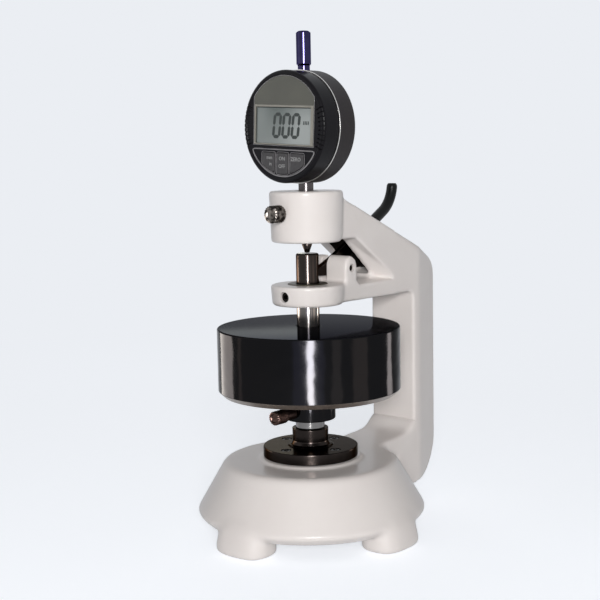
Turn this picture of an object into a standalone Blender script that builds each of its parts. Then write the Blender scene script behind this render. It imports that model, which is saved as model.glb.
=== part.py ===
"""Benchtop thickness tester: a dead weight on a guided spindle, lifted by a lever,
under a digital indicator on a cast C-arm.

Metres, +Z up, the front looks along -Y.  The origin is the middle of the footprint on
the bench.  Heights count from the bench and plan sizes from the spindle's axis.
"""
import math

import bmesh
import bpy
from mathutils import Matrix, Vector

# Clearances
SEAT = 0.0003              # between two pieces that touch
RUN = 0.0003               # between a sliding or turning piece and its guide

# Base casting
BASE_RADIUS = 0.0625       # widest point of the skirt
BASE_WIDEST_HEIGHT = 0.013
BASE_TOP_RADIUS = 0.0464
BASE_HEIGHT = 0.0402
BASE_WALL = 0.0045
SKIRT_BOTTOM = 0.0085
SKIRT_TAPER = 0.0033       # how far the skirt draws in below its widest point
PAD_RADIUS = 0.0272        # machined pad below the anvil
PAD_RISE = 0.0011
FOOT_WIDTH = 0.0320
FOOT_LENGTH = 0.0240       # along the radius
FOOT_PROUD = 0.0029        # how far a foot stands out beyond the skirt
FOOT_TOP = 0.0200          # the foot leans in to here, inside the cone's wall

# C-arm casting
ARM_WIDTH = 0.0310
COLUMN_FRONT = 0.0773
COLUMN_DEPTH = 0.0347
COLUMN_BOTTOM = 0.0060
COLUMN_SHOULDER = 0.0040   # flat part of the column's side before it tapers
COLUMN_BACK_WIDTH = 0.0112
COLUMN_HEEL_RADIUS = 0.0240
ARM_SLOPE_START = 0.0150   # the arm's top slopes down from here, behind the axis
ARM_TOP_DROP = 0.0050      # start of the slope below the boss's top
ARM_SLOPE_END = 0.0818     # a second point on the slope
SHOULDER_RISE = 0.0162     # its height above the guide ring
CROWN_RADIUS = 0.0180
BOSS_RADIUS = 0.0200
BOSS_HEIGHT = 0.0274
READING_GAP = 0.0228       # between the guide ring and the boss
CASTING_DRAFT = 0.0009     # bosses are this much smaller in radius at the bottom
RING_RADIUS = 0.0200
RING_TOP = 0.1358
RING_HEIGHT = 0.0110
THROAT_APEX = 0.0480       # rear corner of the triangular opening, from the axis
LEVER_SLOT = 0.0120        # width of the slot in the upper arm
SLOT_FRONT = 0.0205
SLOT_END = 0.0860
SLOT_RISE = 0.0100         # how much the slot's floor climbs towards the back

# Saddle at the back of the base, and its bolts
SADDLE_WIDTH = 0.0330
SADDLE_TOP = 0.0445
SADDLE_WALL = 0.0067
BOLT_RADIUS = 0.0030
BOLT_HEAD_RADIUS = 0.0050
BOLT_HEAD_LENGTH = 0.0060
BOLT_THREAD = 0.0150       # how far a bolt reaches into the column
BOLT_HEIGHT = 0.0200       # the lower bolt
BOLT_SPACING = 0.0120
WASHER_RADIUS = 0.0053
WASHER_THICKNESS = 0.0012

# Anvil
ANVIL_RADIUS = 0.0259
ANVIL_FLANGE = 0.0057
POST_RADIUS = 0.01025
POST_WAIST = 0.0088
POST_TOP = 0.0570
ANVIL_SCREW_CIRCLE = 0.0188
ANVIL_SCREW_TURN = -5.0    # degrees from the front
ANVIL_SCREW_RADIUS = 0.0018
ANVIL_HEAD_RADIUS = 0.0026
ANVIL_HEAD_DEPTH = 0.0022

# Spindle, presser foot and weight
SPINDLE_RADIUS = 0.00615
SPINDLE_PROUD = 0.0166     # above the guide ring
PRESSER_RADIUS = 0.0080    # 200 square millimetres
PRESSER_HEIGHT = 0.0044
PRESSER_STUD_RADIUS = 0.0030
PRESSER_STUD_LENGTH = 0.0080
WEIGHT_RADIUS = 0.0497
WEIGHT_GAP = 0.0120        # between the weight and the guide ring
WEIGHT_RISE = 0.0143       # weight above the spindle's lower end
WEIGHT_CHAMFER = 0.0028
WEIGHT_BOSS_RADIUS = 0.0140
WEIGHT_SCREW_RISE = 0.0048 # thumbscrew above the weight boss's lower face
LIFT = 0.0050              # travel of the spindle

# Guide bush and its grub screw
BUSH_RADIUS = 0.0108
BUSH_PROUD = 0.0004
GRUB_RADIUS = 0.0026
GRUB_LENGTH = 0.0070

# Thumbscrews
THUMB_SHANK_RADIUS = 0.0019
THUMB_NECK_RADIUS = 0.0031
CLAMP_HEAD_RADIUS = 0.0047
CLAMP_HEAD_LENGTH = 0.0080
CLAMP_SHARE = 0.58         # the clamp screw's place on the boss, as a share of its height
WEIGHT_HEAD_RADIUS = 0.0041
WEIGHT_HEAD_LENGTH = 0.0085
WEIGHT_NECK_LENGTH = 0.0070
KNURL_DEPTH = 0.0003
KNURL_TEETH = 12

# Lift lever
PIVOT_BACK = 0.0192
PIVOT_RISE = 0.0077        # above the guide ring
PIN_RADIUS = 0.0018
PIN_RECESS = 0.0010
LUG_RADIUS = 0.00475
LEVER_THICKNESS = 0.0030
LEVER_EYE = 0.0046
NOSE_ARM = 0.0142
NOSE_RADIUS = 0.0024
TAIL_LENGTH = 0.0240
TAIL_RADIUS = 0.0032
HANDLE_RISE = 29.7         # degrees above level at rest
HANDLE_STRAIGHT = 0.0571   # pivot to the start of the bend
HANDLE_BEND_RADIUS = 0.0190
HANDLE_END_RISE = 88.0     # degrees
ROD_RADIUS = 0.0019
SLEEVE_RADIUS = 0.0031
SLEEVE_START = 0.0380      # along the handle from the pivot
SLEEVE_CAP = 0.0015

# Digital indicator: sizes along its own front-to-back axis count from the plunger
INDICATOR_RISE = 0.0337    # centre of the case above the boss
FACE_TURN = -3.0           # degrees, the face looks a little towards -X
CASE_RADIUS = 0.0297
CASE_WALL = 0.0024
CASE_FRONT = 0.0047
CASE_BACK = 0.0075
SPIGOT_LENGTH = 0.0033
SPIGOT_WALL = 0.0017
COVER_THICKNESS = 0.0017
LEDGE_WIDTH = 0.0044
LEDGE_THICKNESS = 0.0015
SEAM_THICKNESS = 0.0006
SEAM_PROUD = 0.0002
BEZEL_INSET = 0.0003       # bezel radius below the case's
BEZEL_FRONT = 0.0170
BEZEL_RIM = 0.0026         # width of the raised rim
FACE_RECESS = 0.0005
FACE_WALL = 0.0018
RIB_COUNT = 9
RIB_PITCH = 4.8            # degrees
RIB_WIDTH = 0.0011
RIB_PROUD = 0.0003         # ribs stand above the rim
RIB_ROOT = 0.0240          # radius where a rib starts, beside the window
WINDOW_HALF_WIDTH = 0.0212
WINDOW_BOTTOM = -0.0097
WINDOW_ARCH = 0.0264
PANEL_HALF_WIDTH = 0.0209
PANEL_TOP = 0.0107
PANEL_THICKNESS = 0.0020
BOARD_THICKNESS = 0.0012
BUTTON_TOP = -0.0137
BUTTON_ARC = 0.0246
BUTTON_INNER = 0.0058      # inner edge of an outer button
BUTTON_OUTER = 0.0150
BUTTON_MIDDLE = 0.0038     # half width of the middle button
BUTTON_PROUD = 0.0006
BUTTON_TRAVEL = 0.0006
MAT_THICKNESS = 0.0008
STEM_RADIUS = 0.0040
STEM_GRIP = 0.0180         # length of the stem inside the boss
PLUNGER_RADIUS = 0.0020
PLUNGER_REACH = 0.0353     # above the case's centre
CONTACT_RADIUS = 0.0025
CONTACT_LENGTH = 0.0082
CONTACT_STUD = 0.0045
CONTACT_STUD_RADIUS = 0.0010
CAP_RADIUS = 0.0039
CAP_REACH = 0.0501         # top of the dust cap above the case's centre
CAP_LENGTH = 0.0181
CAP_NECK_RADIUS = 0.0032
CARRIER_HALF_WIDTH = 0.0050
CARRIER_HEIGHT = 0.0090
CARRIER_FRONT = 0.0042
CARRIER_BACK = 0.0031
SPRING_RADIUS = 0.0031
SPRING_WIRE = 0.00035
SPRING_TURNS = 7
CELL_RADIUS = 0.0100
CELL_THICKNESS = 0.0028
CELL_DROP = 0.0120         # cell's centre below the indicator's
CELL_COVER_RADIUS = 0.0115
CELL_COVER_PROUD = 0.0005
COIN_SLOT = 0.0016
COVER_SCREW_RADIUS = 0.0008
COVER_HEAD_RADIUS = 0.0015
STEM_BUSH_RADIUS = 0.0066
BUSH_SLIT = 0.0012

# Places worked out from the sizes
COLUMN_BACK = COLUMN_FRONT + COLUMN_DEPTH
FOOT_REACH = BASE_RADIUS + FOOT_PROUD
AXIS_Y = (FOOT_REACH - COLUMN_BACK) / 2
BOLT_HEIGHTS = (BOLT_HEIGHT, BOLT_HEIGHT + BOLT_SPACING)
PAD_TOP = BASE_HEIGHT + PAD_RISE
BOSS_BOTTOM = RING_TOP + READING_GAP
BOSS_TOP = BOSS_BOTTOM + BOSS_HEIGHT
ARM_TOP = BOSS_TOP - ARM_TOP_DROP
SHOULDER_HEIGHT = RING_TOP + SHOULDER_RISE
CLAMP_HEIGHT = BOSS_BOTTOM + CLAMP_SHARE * BOSS_HEIGHT
RING_BOTTOM = RING_TOP - RING_HEIGHT
ANVIL_BOTTOM = PAD_TOP + SEAT
PRESSER_BOTTOM = POST_TOP + SEAT
SPINDLE_BOTTOM = PRESSER_BOTTOM + PRESSER_HEIGHT + SEAT
SPINDLE_TOP = RING_TOP + SPINDLE_PROUD
WEIGHT_BOTTOM = SPINDLE_BOTTOM + WEIGHT_RISE
WEIGHT_TOP = RING_BOTTOM - WEIGHT_GAP
PIVOT_HEIGHT = RING_TOP + PIVOT_RISE
INDICATOR_HEIGHT = BOSS_TOP + INDICATOR_RISE
STEM_BOTTOM = BOSS_TOP - STEM_GRIP
PLUNGER_TOP = INDICATOR_HEIGHT + PLUNGER_REACH
CAP_TOP = INDICATOR_HEIGHT + CAP_REACH
CAP_BOTTOM = CAP_TOP - CAP_LENGTH
LEVER_SWING = 2 * math.asin(LIFT / 2 / NOSE_ARM)
NOSE_ANGLE = math.pi + LEVER_SWING / 2
NOSE_Y = PIVOT_BACK + NOSE_ARM * math.cos(NOSE_ANGLE)
NOSE_Z = PIVOT_HEIGHT + NOSE_ARM * math.sin(NOSE_ANGLE)
CASE_BORE = CASE_RADIUS - CASE_WALL
SPIGOT_RADIUS = CASE_BORE - SEAT
BEZEL_BACK = CASE_FRONT + SEAM_THICKNESS + 2 * SEAT
FACE_FRONT = BEZEL_FRONT - FACE_RECESS
FACE_BACK = FACE_FRONT - FACE_WALL
WINDOW_BACK = FACE_BACK + SEAT
PANEL_FRONT = WINDOW_BACK - SEAT
PANEL_BACK = PANEL_FRONT - PANEL_THICKNESS
BOARD_FRONT = PANEL_BACK - SEAT
MAT_BACK = BOARD_FRONT + SEAT
BUTTON_BACK = MAT_BACK + MAT_THICKNESS + SEAT + BUTTON_TRAVEL
COVER_FRONT = CASE_BACK - COVER_THICKNESS
CONTACT_BOTTOM = SPINDLE_TOP + SEAT
CONTACT_TOP = CONTACT_BOTTOM + CONTACT_LENGTH
CARRIER_TOP = INDICATOR_HEIGHT + CARRIER_HEIGHT
NECK_BOTTOM = INDICATOR_HEIGHT + CASE_BORE


def clear_scene():
    for item in list(bpy.data.objects):
        bpy.data.objects.remove(item, do_unlink=True)


def painted(name, colour, roughness, metallic=0.0, alpha=1.0):
    """A plain Principled material; the colour is linear RGB."""
    material = bpy.data.materials.new(name)
    material.use_nodes = True
    shader = material.node_tree.nodes["Principled BSDF"]
    shader.inputs["Base Color"].default_value = (*colour, 1.0)
    shader.inputs["Roughness"].default_value = roughness
    shader.inputs["Metallic"].default_value = metallic
    shader.inputs["Alpha"].default_value = alpha
    material.diffuse_color = (*colour, 1.0)
    return material


def make_object(name, mesh_data, material, parent):
    """Turn a bmesh into a smooth-shaded object below an empty."""
    bmesh.ops.recalc_face_normals(mesh_data, faces=mesh_data.faces)
    mesh = bpy.data.meshes.new(name)
    mesh_data.to_mesh(mesh)
    mesh_data.free()
    mesh.shade_smooth()
    mesh.set_sharp_from_angle(angle=math.radians(35))
    item = bpy.data.objects.new(name, mesh)
    bpy.context.scene.collection.objects.link(item)
    item.parent = parent
    if material:
        mesh.materials.append(material)
    return item


def make_empty(name, parent=None, place=(0, 0, 0), turn=(0, 0, 0)):
    item = bpy.data.objects.new(name, None)
    item.empty_display_size = 0.01
    item.parent = parent
    item.location = place
    item.rotation_euler = turn
    bpy.context.scene.collection.objects.link(item)
    return item


def combine(target, tool, operation="DIFFERENCE"):
    """Cut, join or intersect an object with a helper that is left out of the part."""
    tool.hide_render = True
    tool.display_type = "WIRE"
    modifier = target.modifiers.new(f"{operation.lower()}_{tool.name}", "BOOLEAN")
    modifier.operation = operation
    modifier.object = tool
    modifier.solver = "EXACT"


def turned(profile, steps=48, closed=False):
    """Spin a profile of (radius, height) points about Z."""
    work = bmesh.new()
    verts = [work.verts.new((radius, 0, height)) for radius, height in profile]
    edges = [work.edges.new(pair) for pair in zip(verts, verts[1:])]
    if closed:
        edges.append(work.edges.new((verts[-1], verts[0])))
    bmesh.ops.spin(work, geom=verts + edges, axis=(0, 0, 1), cent=(0, 0, 0),
                   dvec=(0, 0, 0), angle=math.tau, steps=steps, use_duplicate=False)
    bmesh.ops.remove_doubles(work, verts=work.verts, dist=1e-6)
    return work


def prism(outline, low, high, matrix=None):
    """Extrude a flat outline of (x, y) points from one height to another."""
    work = bmesh.new()
    face = work.faces.new([work.verts.new((x, y, low)) for x, y in outline])
    grown = bmesh.ops.extrude_face_region(work, geom=[face])
    moved = [part for part in grown["geom"] if isinstance(part, bmesh.types.BMVert)]
    bmesh.ops.translate(work, verts=moved, vec=(0, 0, high - low))
    if matrix:
        bmesh.ops.transform(work, matrix=matrix, verts=work.verts)
    return work


# Outlines drawn as (back, up) become prisms that run along X
SIDE_VIEW = Matrix(((0, 0, 1, 0), (1, 0, 0, 0), (0, 1, 0, 0), (0, 0, 0, 1)))


def side_prism(outline, half_width):
    return prism(outline, -half_width, half_width, SIDE_VIEW)


def loft(rings):
    """Bridge rings of equal count and close both ends."""
    work = bmesh.new()
    rows = [[work.verts.new(point) for point in ring] for ring in rings]
    count = len(rows[0])
    for lower, upper in zip(rows, rows[1:]):
        for i in range(count):
            j = (i + 1) % count
            work.faces.new((lower[i], lower[j], upper[j], upper[i]))
    work.faces.new(rows[0])
    work.faces.new(rows[-1])
    return work


def arc(centre, radius, start, end, steps):
    """Points of an arc; the angles are in degrees."""
    points = []
    for i in range(steps + 1):
        angle = math.radians(start + (end - start) * i / steps)
        points.append((centre[0] + radius * math.cos(angle),
                       centre[1] + radius * math.sin(angle)))
    return points


def round_ring(radius, height, count=12):
    return [(radius * math.cos(math.tau * i / count), radius * math.sin(math.tau * i / count),
             height) for i in range(count)]


def hexagon_ring(apothem, height, count=12):
    """A hexagon drawn with as many points as the round ring that it meets."""
    points = []
    for i in range(count):
        angle = math.tau * i / count
        radius = apothem / math.cos((angle % (math.pi / 3)) - math.pi / 6)
        points.append((radius * math.cos(angle), radius * math.sin(angle), height))
    return points


def knurled_ring(radius, height, depth=KNURL_DEPTH):
    count = 2 * KNURL_TEETH
    points = []
    for i in range(count):
        angle = math.tau * i / count
        reach = radius - depth * (i % 2)
        points.append((reach * math.cos(angle), reach * math.sin(angle), height))
    return points


def socket_screw(shank_radius, shank_length, head_radius, head_length, socket_apothem):
    """A screw along Z with its head's lower face at 0 and its shank below."""
    edge = 0.12 * head_length
    return loft([
        round_ring(shank_radius * 0.75, -shank_length),
        round_ring(shank_radius, -shank_length + shank_radius * 0.4),
        round_ring(shank_radius, 0),
        round_ring(head_radius, 0),
        round_ring(head_radius, head_length - edge),
        round_ring(head_radius - edge, head_length),
        hexagon_ring(socket_apothem, head_length),
        hexagon_ring(socket_apothem, head_length * 0.45),
    ])


def tube_rings(path, normals, radius, sides=10):
    """Rings of one radius square to a path, from each point's first normal."""
    rings = []
    for i, point in enumerate(path):
        before = path[max(i - 1, 0)]
        after = path[min(i + 1, len(path) - 1)]
        tangent = (Vector(after) - Vector(before)).normalized()
        first = Vector(normals[i]).normalized()
        second = tangent.cross(first).normalized()
        rings.append([Vector(point) + radius * (math.cos(math.tau * k / sides) * first
                                                + math.sin(math.tau * k / sides) * second)
                      for k in range(sides)])
    return rings


def cylinder_tool(name, radius, length, parent, place, turn=(0, 0, 0), steps=24):
    """A hidden cylinder along its own Z, from its origin to its length."""
    tool = make_object(name, turned([(0, 0), (radius, 0), (radius, length), (0, length)],
                                    steps), None, parent)
    tool.location = place
    tool.rotation_euler = turn
    return tool


# Turns that point an object's own Z to the front, to the back, or to the sides
TO_FRONT = (math.pi / 2, 0, 0)
TO_BACK = (-math.pi / 2, 0, 0)
TO_RIGHT = (0, math.pi / 2, 0)


def base_profile():
    """Outline of the hollow cone from the middle of its top round to the inside."""
    slope = (BASE_RADIUS - BASE_TOP_RADIUS) / (BASE_HEIGHT - BASE_WIDEST_HEIGHT)
    shoulder = 0.0035
    skirt_radius = BASE_RADIUS - SKIRT_TAPER
    return [
        (0, PAD_TOP), (PAD_RADIUS, PAD_TOP), (PAD_RADIUS + PAD_RISE, BASE_HEIGHT),
        (BASE_TOP_RADIUS - shoulder, BASE_HEIGHT),
        (BASE_TOP_RADIUS - 0.3 * shoulder, BASE_HEIGHT - 0.15 * shoulder),
        (BASE_TOP_RADIUS + 0.35 * shoulder, BASE_HEIGHT - 0.75 * shoulder),
        (BASE_RADIUS - slope * 0.0030, BASE_WIDEST_HEIGHT + 0.0030),
        (BASE_RADIUS, BASE_WIDEST_HEIGHT + 0.0006), (BASE_RADIUS, BASE_WIDEST_HEIGHT - 0.0006),
        (skirt_radius + 0.0004, SKIRT_BOTTOM + 0.0007), (skirt_radius - 0.0008, SKIRT_BOTTOM),
        (skirt_radius - BASE_WALL, SKIRT_BOTTOM),
        (BASE_RADIUS - BASE_WALL, BASE_WIDEST_HEIGHT + 0.0005),
        (BASE_TOP_RADIUS - BASE_WALL, BASE_HEIGHT - BASE_WALL),
        (0, BASE_HEIGHT - BASE_WALL),
    ]


def foot_rings():
    """Plan rings of one cast foot at +X: rounded below, leaning in to the cone's wall above."""
    middle = FOOT_REACH - FOOT_LENGTH / 2
    lean = (BASE_RADIUS - BASE_TOP_RADIUS) / (BASE_HEIGHT - BASE_WIDEST_HEIGHT)
    levels = ((0, 0.0024, 0), (0.0008, 0.0008, 0), (0.0022, 0, 0), (0.0065, 0.0004, 0),
              (BASE_WIDEST_HEIGHT, 0.0010, 0.0014),
              (FOOT_TOP, 0.0020, FOOT_PROUD + lean * (FOOT_TOP - BASE_WIDEST_HEIGHT) - 0.0012))
    rings = []
    for height, inset, shift in levels:
        ring = []
        for i in range(16):
            angle = math.tau * i / 16
            cosine, sine = math.cos(angle), math.sin(angle)
            x = (FOOT_LENGTH / 2 - inset) * math.copysign(abs(cosine) ** 0.7, cosine)
            y = (FOOT_WIDTH / 2 - inset) * math.copysign(abs(sine) ** 0.7, sine)
            ring.append((middle - shift + x, y, height))
        rings.append(ring)
    return rings


def make_base(machine, paint):
    """Hollow cone with four feet and the saddle that carries the column."""
    base = make_object("base_casting", turned(base_profile(), 48), paint, machine)
    for i in range(4):
        foot = make_object(f"foot_shape_{i + 1}", loft(foot_rings()), None, machine)
        foot.rotation_euler.z = math.tau * i / 4
        combine(base, foot, "UNION")
    saddle_back = COLUMN_FRONT - SEAT
    saddle = [(0.6 * BASE_TOP_RADIUS, BASE_HEIGHT - 0.002), (0.85 * BASE_TOP_RADIUS, BASE_HEIGHT),
              (BASE_RADIUS, SADDLE_TOP - 0.0015), (saddle_back, SADDLE_TOP),
              (saddle_back, COLUMN_BOTTOM), (BASE_RADIUS - 0.6 * BASE_WALL, COLUMN_BOTTOM),
              (BASE_RADIUS - 0.6 * BASE_WALL, BASE_HEIGHT - 2 * BASE_WALL),
              (0.6 * BASE_TOP_RADIUS, BASE_HEIGHT - BASE_WALL + 0.001)]
    combine(base, make_object("saddle_shape", side_prism(saddle, SADDLE_WIDTH / 2), None,
                              machine), "UNION")
    inside = saddle_back - SADDLE_WALL
    ceiling = SADDLE_TOP - SADDLE_WALL
    hollow = [(0.85 * BASE_TOP_RADIUS, BOLT_HEIGHTS[0] - 0.002), (0.85 * BASE_TOP_RADIUS, ceiling),
              (inside, ceiling), (inside, 0), (inside - 0.0090, 0),
              (inside - 0.0090, BASE_WIDEST_HEIGHT), (inside - 0.013, BOLT_HEIGHTS[0] - 0.002)]
    combine(base, make_object("saddle_hollow", side_prism(hollow, 0.0095), None, machine))
    for i, height in enumerate(BOLT_HEIGHTS):
        combine(base, cylinder_tool(f"base_bolt_hole_{i + 1}", BOLT_RADIUS + SEAT,
                                    2 * SADDLE_WALL, machine,
                                    (0, inside - SADDLE_WALL / 2, height), TO_BACK))
    for i in range(4):
        x, y = anvil_screw_place(i)
        combine(base, cylinder_tool(f"base_screw_hole_{i + 1}", ANVIL_SCREW_RADIUS + SEAT,
                                    2 * BASE_WALL, machine,
                                    (x, y, PAD_TOP - 1.7 * BASE_WALL), steps=8))
    return base


def arm_outline():
    """Side view of the C-arm without its bosses, as (back, up)."""
    slope = math.atan2(ARM_TOP - SHOULDER_HEIGHT, ARM_SLOPE_END - ARM_SLOPE_START)
    crown_back = COLUMN_BACK - CROWN_RADIUS
    crown = (crown_back, SHOULDER_HEIGHT - (crown_back - ARM_SLOPE_END) * math.tan(slope)
             - CROWN_RADIUS / math.cos(slope))
    heel = (COLUMN_BACK - COLUMN_HEEL_RADIUS, COLUMN_BOTTOM + COLUMN_HEEL_RADIUS)
    start = 90 - math.degrees(slope)
    nose = 0.5 * BOSS_RADIUS
    diagonal_top = 0.0225
    low, high = RING_BOTTOM + SEAT, RING_TOP - SEAT
    outline = [(nose, low)]
    outline += arc((COLUMN_FRONT - 0.003, low - 0.003), 0.003, 90, 0, 4)
    outline += [(COLUMN_FRONT, COLUMN_BOTTOM)]
    outline += arc(heel, COLUMN_HEEL_RADIUS, -84, 0, 8)
    outline += arc(crown, CROWN_RADIUS, 0, start, 9)
    outline += [(ARM_SLOPE_START, ARM_TOP), (nose, ARM_TOP)]
    outline += [(nose, BOSS_BOTTOM + 0.0004), (diagonal_top, BOSS_BOTTOM + 0.0004)]
    outline += [(THROAT_APEX, high + 0.0016), (THROAT_APEX - 0.0015, high)]
    outline += [(nose, high)]
    return outline


def column_plan():
    """Plan of the casting: straight sides and a tapered, rounded back, as (x, back)."""
    side = ARM_WIDTH / 2
    shoulder = COLUMN_FRONT + COLUMN_SHOULDER
    back = COLUMN_BACK_WIDTH / 2
    corner = 0.0060
    right = [(side, -0.001), (side, shoulder), (side - 0.0008, shoulder + 0.0030),
             (back + 0.0012, COLUMN_BACK - corner)]
    right += [(back - 0.0012, COLUMN_BACK - 0.0020), (back - 0.0045, COLUMN_BACK)]
    left = [(-x, y) for x, y in reversed(right)]
    return right + left


def make_arm(machine, paint):
    """C-arm: side view and plan cross, then bosses, lugs, slot and bores."""
    arm = make_object("arm_casting", side_prism(arm_outline(), ARM_WIDTH), paint, machine)
    plan = make_object("arm_plan", prism(column_plan(), 0, 1.1 * BOSS_TOP), None, machine)
    combine(arm, plan, "INTERSECT")
    edge = 0.0012
    boss = turned([(0, BOSS_BOTTOM), (BOSS_RADIUS - CASTING_DRAFT - edge, BOSS_BOTTOM),
                   (BOSS_RADIUS - CASTING_DRAFT, BOSS_BOTTOM + edge),
                   (BOSS_RADIUS, BOSS_TOP - edge), (BOSS_RADIUS - edge, BOSS_TOP),
                   (0, BOSS_TOP)], 32)
    combine(arm, make_object("boss_shape", boss, None, machine), "UNION")
    ring = turned([(0, RING_BOTTOM), (RING_RADIUS - CASTING_DRAFT - edge, RING_BOTTOM),
                   (RING_RADIUS - CASTING_DRAFT, RING_BOTTOM + edge),
                   (RING_RADIUS, RING_TOP - edge), (RING_RADIUS - edge, RING_TOP),
                   (0, RING_TOP)], 32)
    combine(arm, make_object("ring_shape", ring, None, machine), "UNION")
    lug = [(PIVOT_BACK - LUG_RADIUS, RING_TOP - 0.002), (PIVOT_BACK + LUG_RADIUS, RING_TOP - 0.002)]
    lug += arc((PIVOT_BACK, PIVOT_HEIGHT), LUG_RADIUS, 0, 180, 12)
    combine(arm, make_object("lug_shape", side_prism(lug, ARM_WIDTH / 2 - 0.0002), None,
                             machine), "UNION")
    gap = [(PIVOT_BACK - 2 * LUG_RADIUS, RING_TOP + 0.0001),
           (PIVOT_BACK + 2 * LUG_RADIUS, RING_TOP + 0.0001),
           (PIVOT_BACK + 2 * LUG_RADIUS, PIVOT_HEIGHT + 2 * LUG_RADIUS),
           (PIVOT_BACK - 2 * LUG_RADIUS, PIVOT_HEIGHT + 2 * LUG_RADIUS)]
    combine(arm, make_object("lug_gap", side_prism(gap, LEVER_THICKNESS / 2 + RUN), None,
                             machine))
    floor = RING_TOP + 0.0020
    slot = [(SLOT_FRONT, floor), (THROAT_APEX, floor), (SLOT_END, floor + SLOT_RISE),
            (SLOT_END + 0.002, BOSS_TOP), (SLOT_FRONT, BOSS_TOP)]
    combine(arm, make_object("slot_shape", side_prism(slot, LEVER_SLOT / 2), None, machine))
    combine(arm, cylinder_tool("boss_bore", STEM_BUSH_RADIUS + SEAT, 2 * BOSS_HEIGHT, machine,
                               (0, 0, BOSS_BOTTOM - BOSS_HEIGHT / 2), steps=24))
    combine(arm, cylinder_tool("ring_bore", BUSH_RADIUS + SEAT, 2 * RING_HEIGHT, machine,
                               (0, 0, RING_BOTTOM - RING_HEIGHT / 2), steps=32))
    combine(arm, cylinder_tool("clamp_hole", THUMB_SHANK_RADIUS + SEAT, 1.5 * BOSS_RADIUS,
                               machine, (0, 0, CLAMP_HEIGHT), TO_FRONT, 12))
    combine(arm, cylinder_tool("grub_hole", GRUB_RADIUS + SEAT, 1.5 * RING_RADIUS, machine,
                               (0, 0, (RING_TOP + RING_BOTTOM) / 2), TO_FRONT, 12))
    combine(arm, cylinder_tool("pin_hole", PIN_RADIUS + SEAT, 2 * ARM_WIDTH, machine,
                               (-ARM_WIDTH, PIVOT_BACK, PIVOT_HEIGHT), TO_RIGHT, 14))
    for i, height in enumerate(BOLT_HEIGHTS):
        combine(arm, cylinder_tool(f"column_bolt_hole_{i + 1}", BOLT_RADIUS + SEAT,
                                   BOLT_THREAD + 0.002 + 0.0005, machine,
                                   (0, COLUMN_FRONT - 0.0005, height), TO_BACK))
    return arm


def make_arm_fasteners(machine, steel):
    """Two socket screws with washers, from inside the base into the column."""
    wall_front = COLUMN_FRONT - SEAT - SADDLE_WALL
    head = wall_front - WASHER_THICKNESS - 2 * SEAT
    for name, height in zip(("lower", "upper"), BOLT_HEIGHTS):
        shank = COLUMN_FRONT + BOLT_THREAD - head
        bolt = make_object(f"arm_bolt_{name}",
                           socket_screw(BOLT_RADIUS, shank, BOLT_HEAD_RADIUS,
                                        BOLT_HEAD_LENGTH, 0.5 * BOLT_HEAD_RADIUS),
                           steel, machine)
        bolt.location = (0, head, height)
        bolt.rotation_euler = TO_FRONT
        washer = make_object(f"arm_washer_{name}",
                             turned([(BOLT_RADIUS + SEAT, 0), (WASHER_RADIUS, 0),
                                     (WASHER_RADIUS, WASHER_THICKNESS),
                                     (BOLT_RADIUS + SEAT, WASHER_THICKNESS)], 16, True),
                             steel, machine)
        washer.location = (0, wall_front - SEAT, height)
        washer.rotation_euler = TO_FRONT


def anvil_screw_place(index):
    angle = math.radians(ANVIL_SCREW_TURN - 90 + 90 * index)
    return ANVIL_SCREW_CIRCLE * math.cos(angle), ANVIL_SCREW_CIRCLE * math.sin(angle)


def make_anvil(machine, steel):
    """Turned flange with the measuring post, and its four countersunk screws."""
    top = ANVIL_BOTTOM + ANVIL_FLANGE
    edge = 0.0006
    profile = [(0, ANVIL_BOTTOM), (ANVIL_RADIUS - edge, ANVIL_BOTTOM),
               (ANVIL_RADIUS, ANVIL_BOTTOM + edge), (ANVIL_RADIUS, top - edge),
               (ANVIL_RADIUS - edge, top), (POST_RADIUS + 0.0026, top),
               (POST_RADIUS + 0.0016, top + 0.0008), (POST_WAIST + 0.0008, top + 0.0010),
               (POST_WAIST, top + 0.0020), (POST_WAIST + 0.0001, top + 0.0045),
               (POST_RADIUS, POST_TOP - 0.0020), (POST_RADIUS, POST_TOP - 0.0005),
               (POST_RADIUS - 0.0005, POST_TOP), (0, POST_TOP)]
    anvil = make_object("anvil", turned(profile, 36), steel, machine)
    screw = None
    for i in range(4):
        x, y = anvil_screw_place(i)
        seat = top - ANVIL_HEAD_DEPTH
        combine(anvil, cylinder_tool(f"anvil_hole_{i + 1}", ANVIL_SCREW_RADIUS + SEAT,
                                     2 * ANVIL_FLANGE, machine,
                                     (x, y, ANVIL_BOTTOM - ANVIL_FLANGE / 2), steps=8))
        combine(anvil, cylinder_tool(f"anvil_counterbore_{i + 1}", ANVIL_HEAD_RADIUS + SEAT,
                                     ANVIL_FLANGE, machine, (x, y, seat), steps=10))
        if screw is None:
            shank = seat + SEAT - PAD_TOP + 0.8 * BASE_WALL
            screw = make_object("anvil_screw_1",
                                socket_screw(ANVIL_SCREW_RADIUS, shank, ANVIL_HEAD_RADIUS,
                                             ANVIL_HEAD_DEPTH - 2 * SEAT,
                                             0.5 * ANVIL_HEAD_RADIUS), steel, machine)
            item = screw
        else:
            item = bpy.data.objects.new(f"anvil_screw_{i + 1}", screw.data)
            bpy.context.scene.collection.objects.link(item)
            item.parent = machine
        item.location = (x, y, seat + SEAT)


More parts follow.
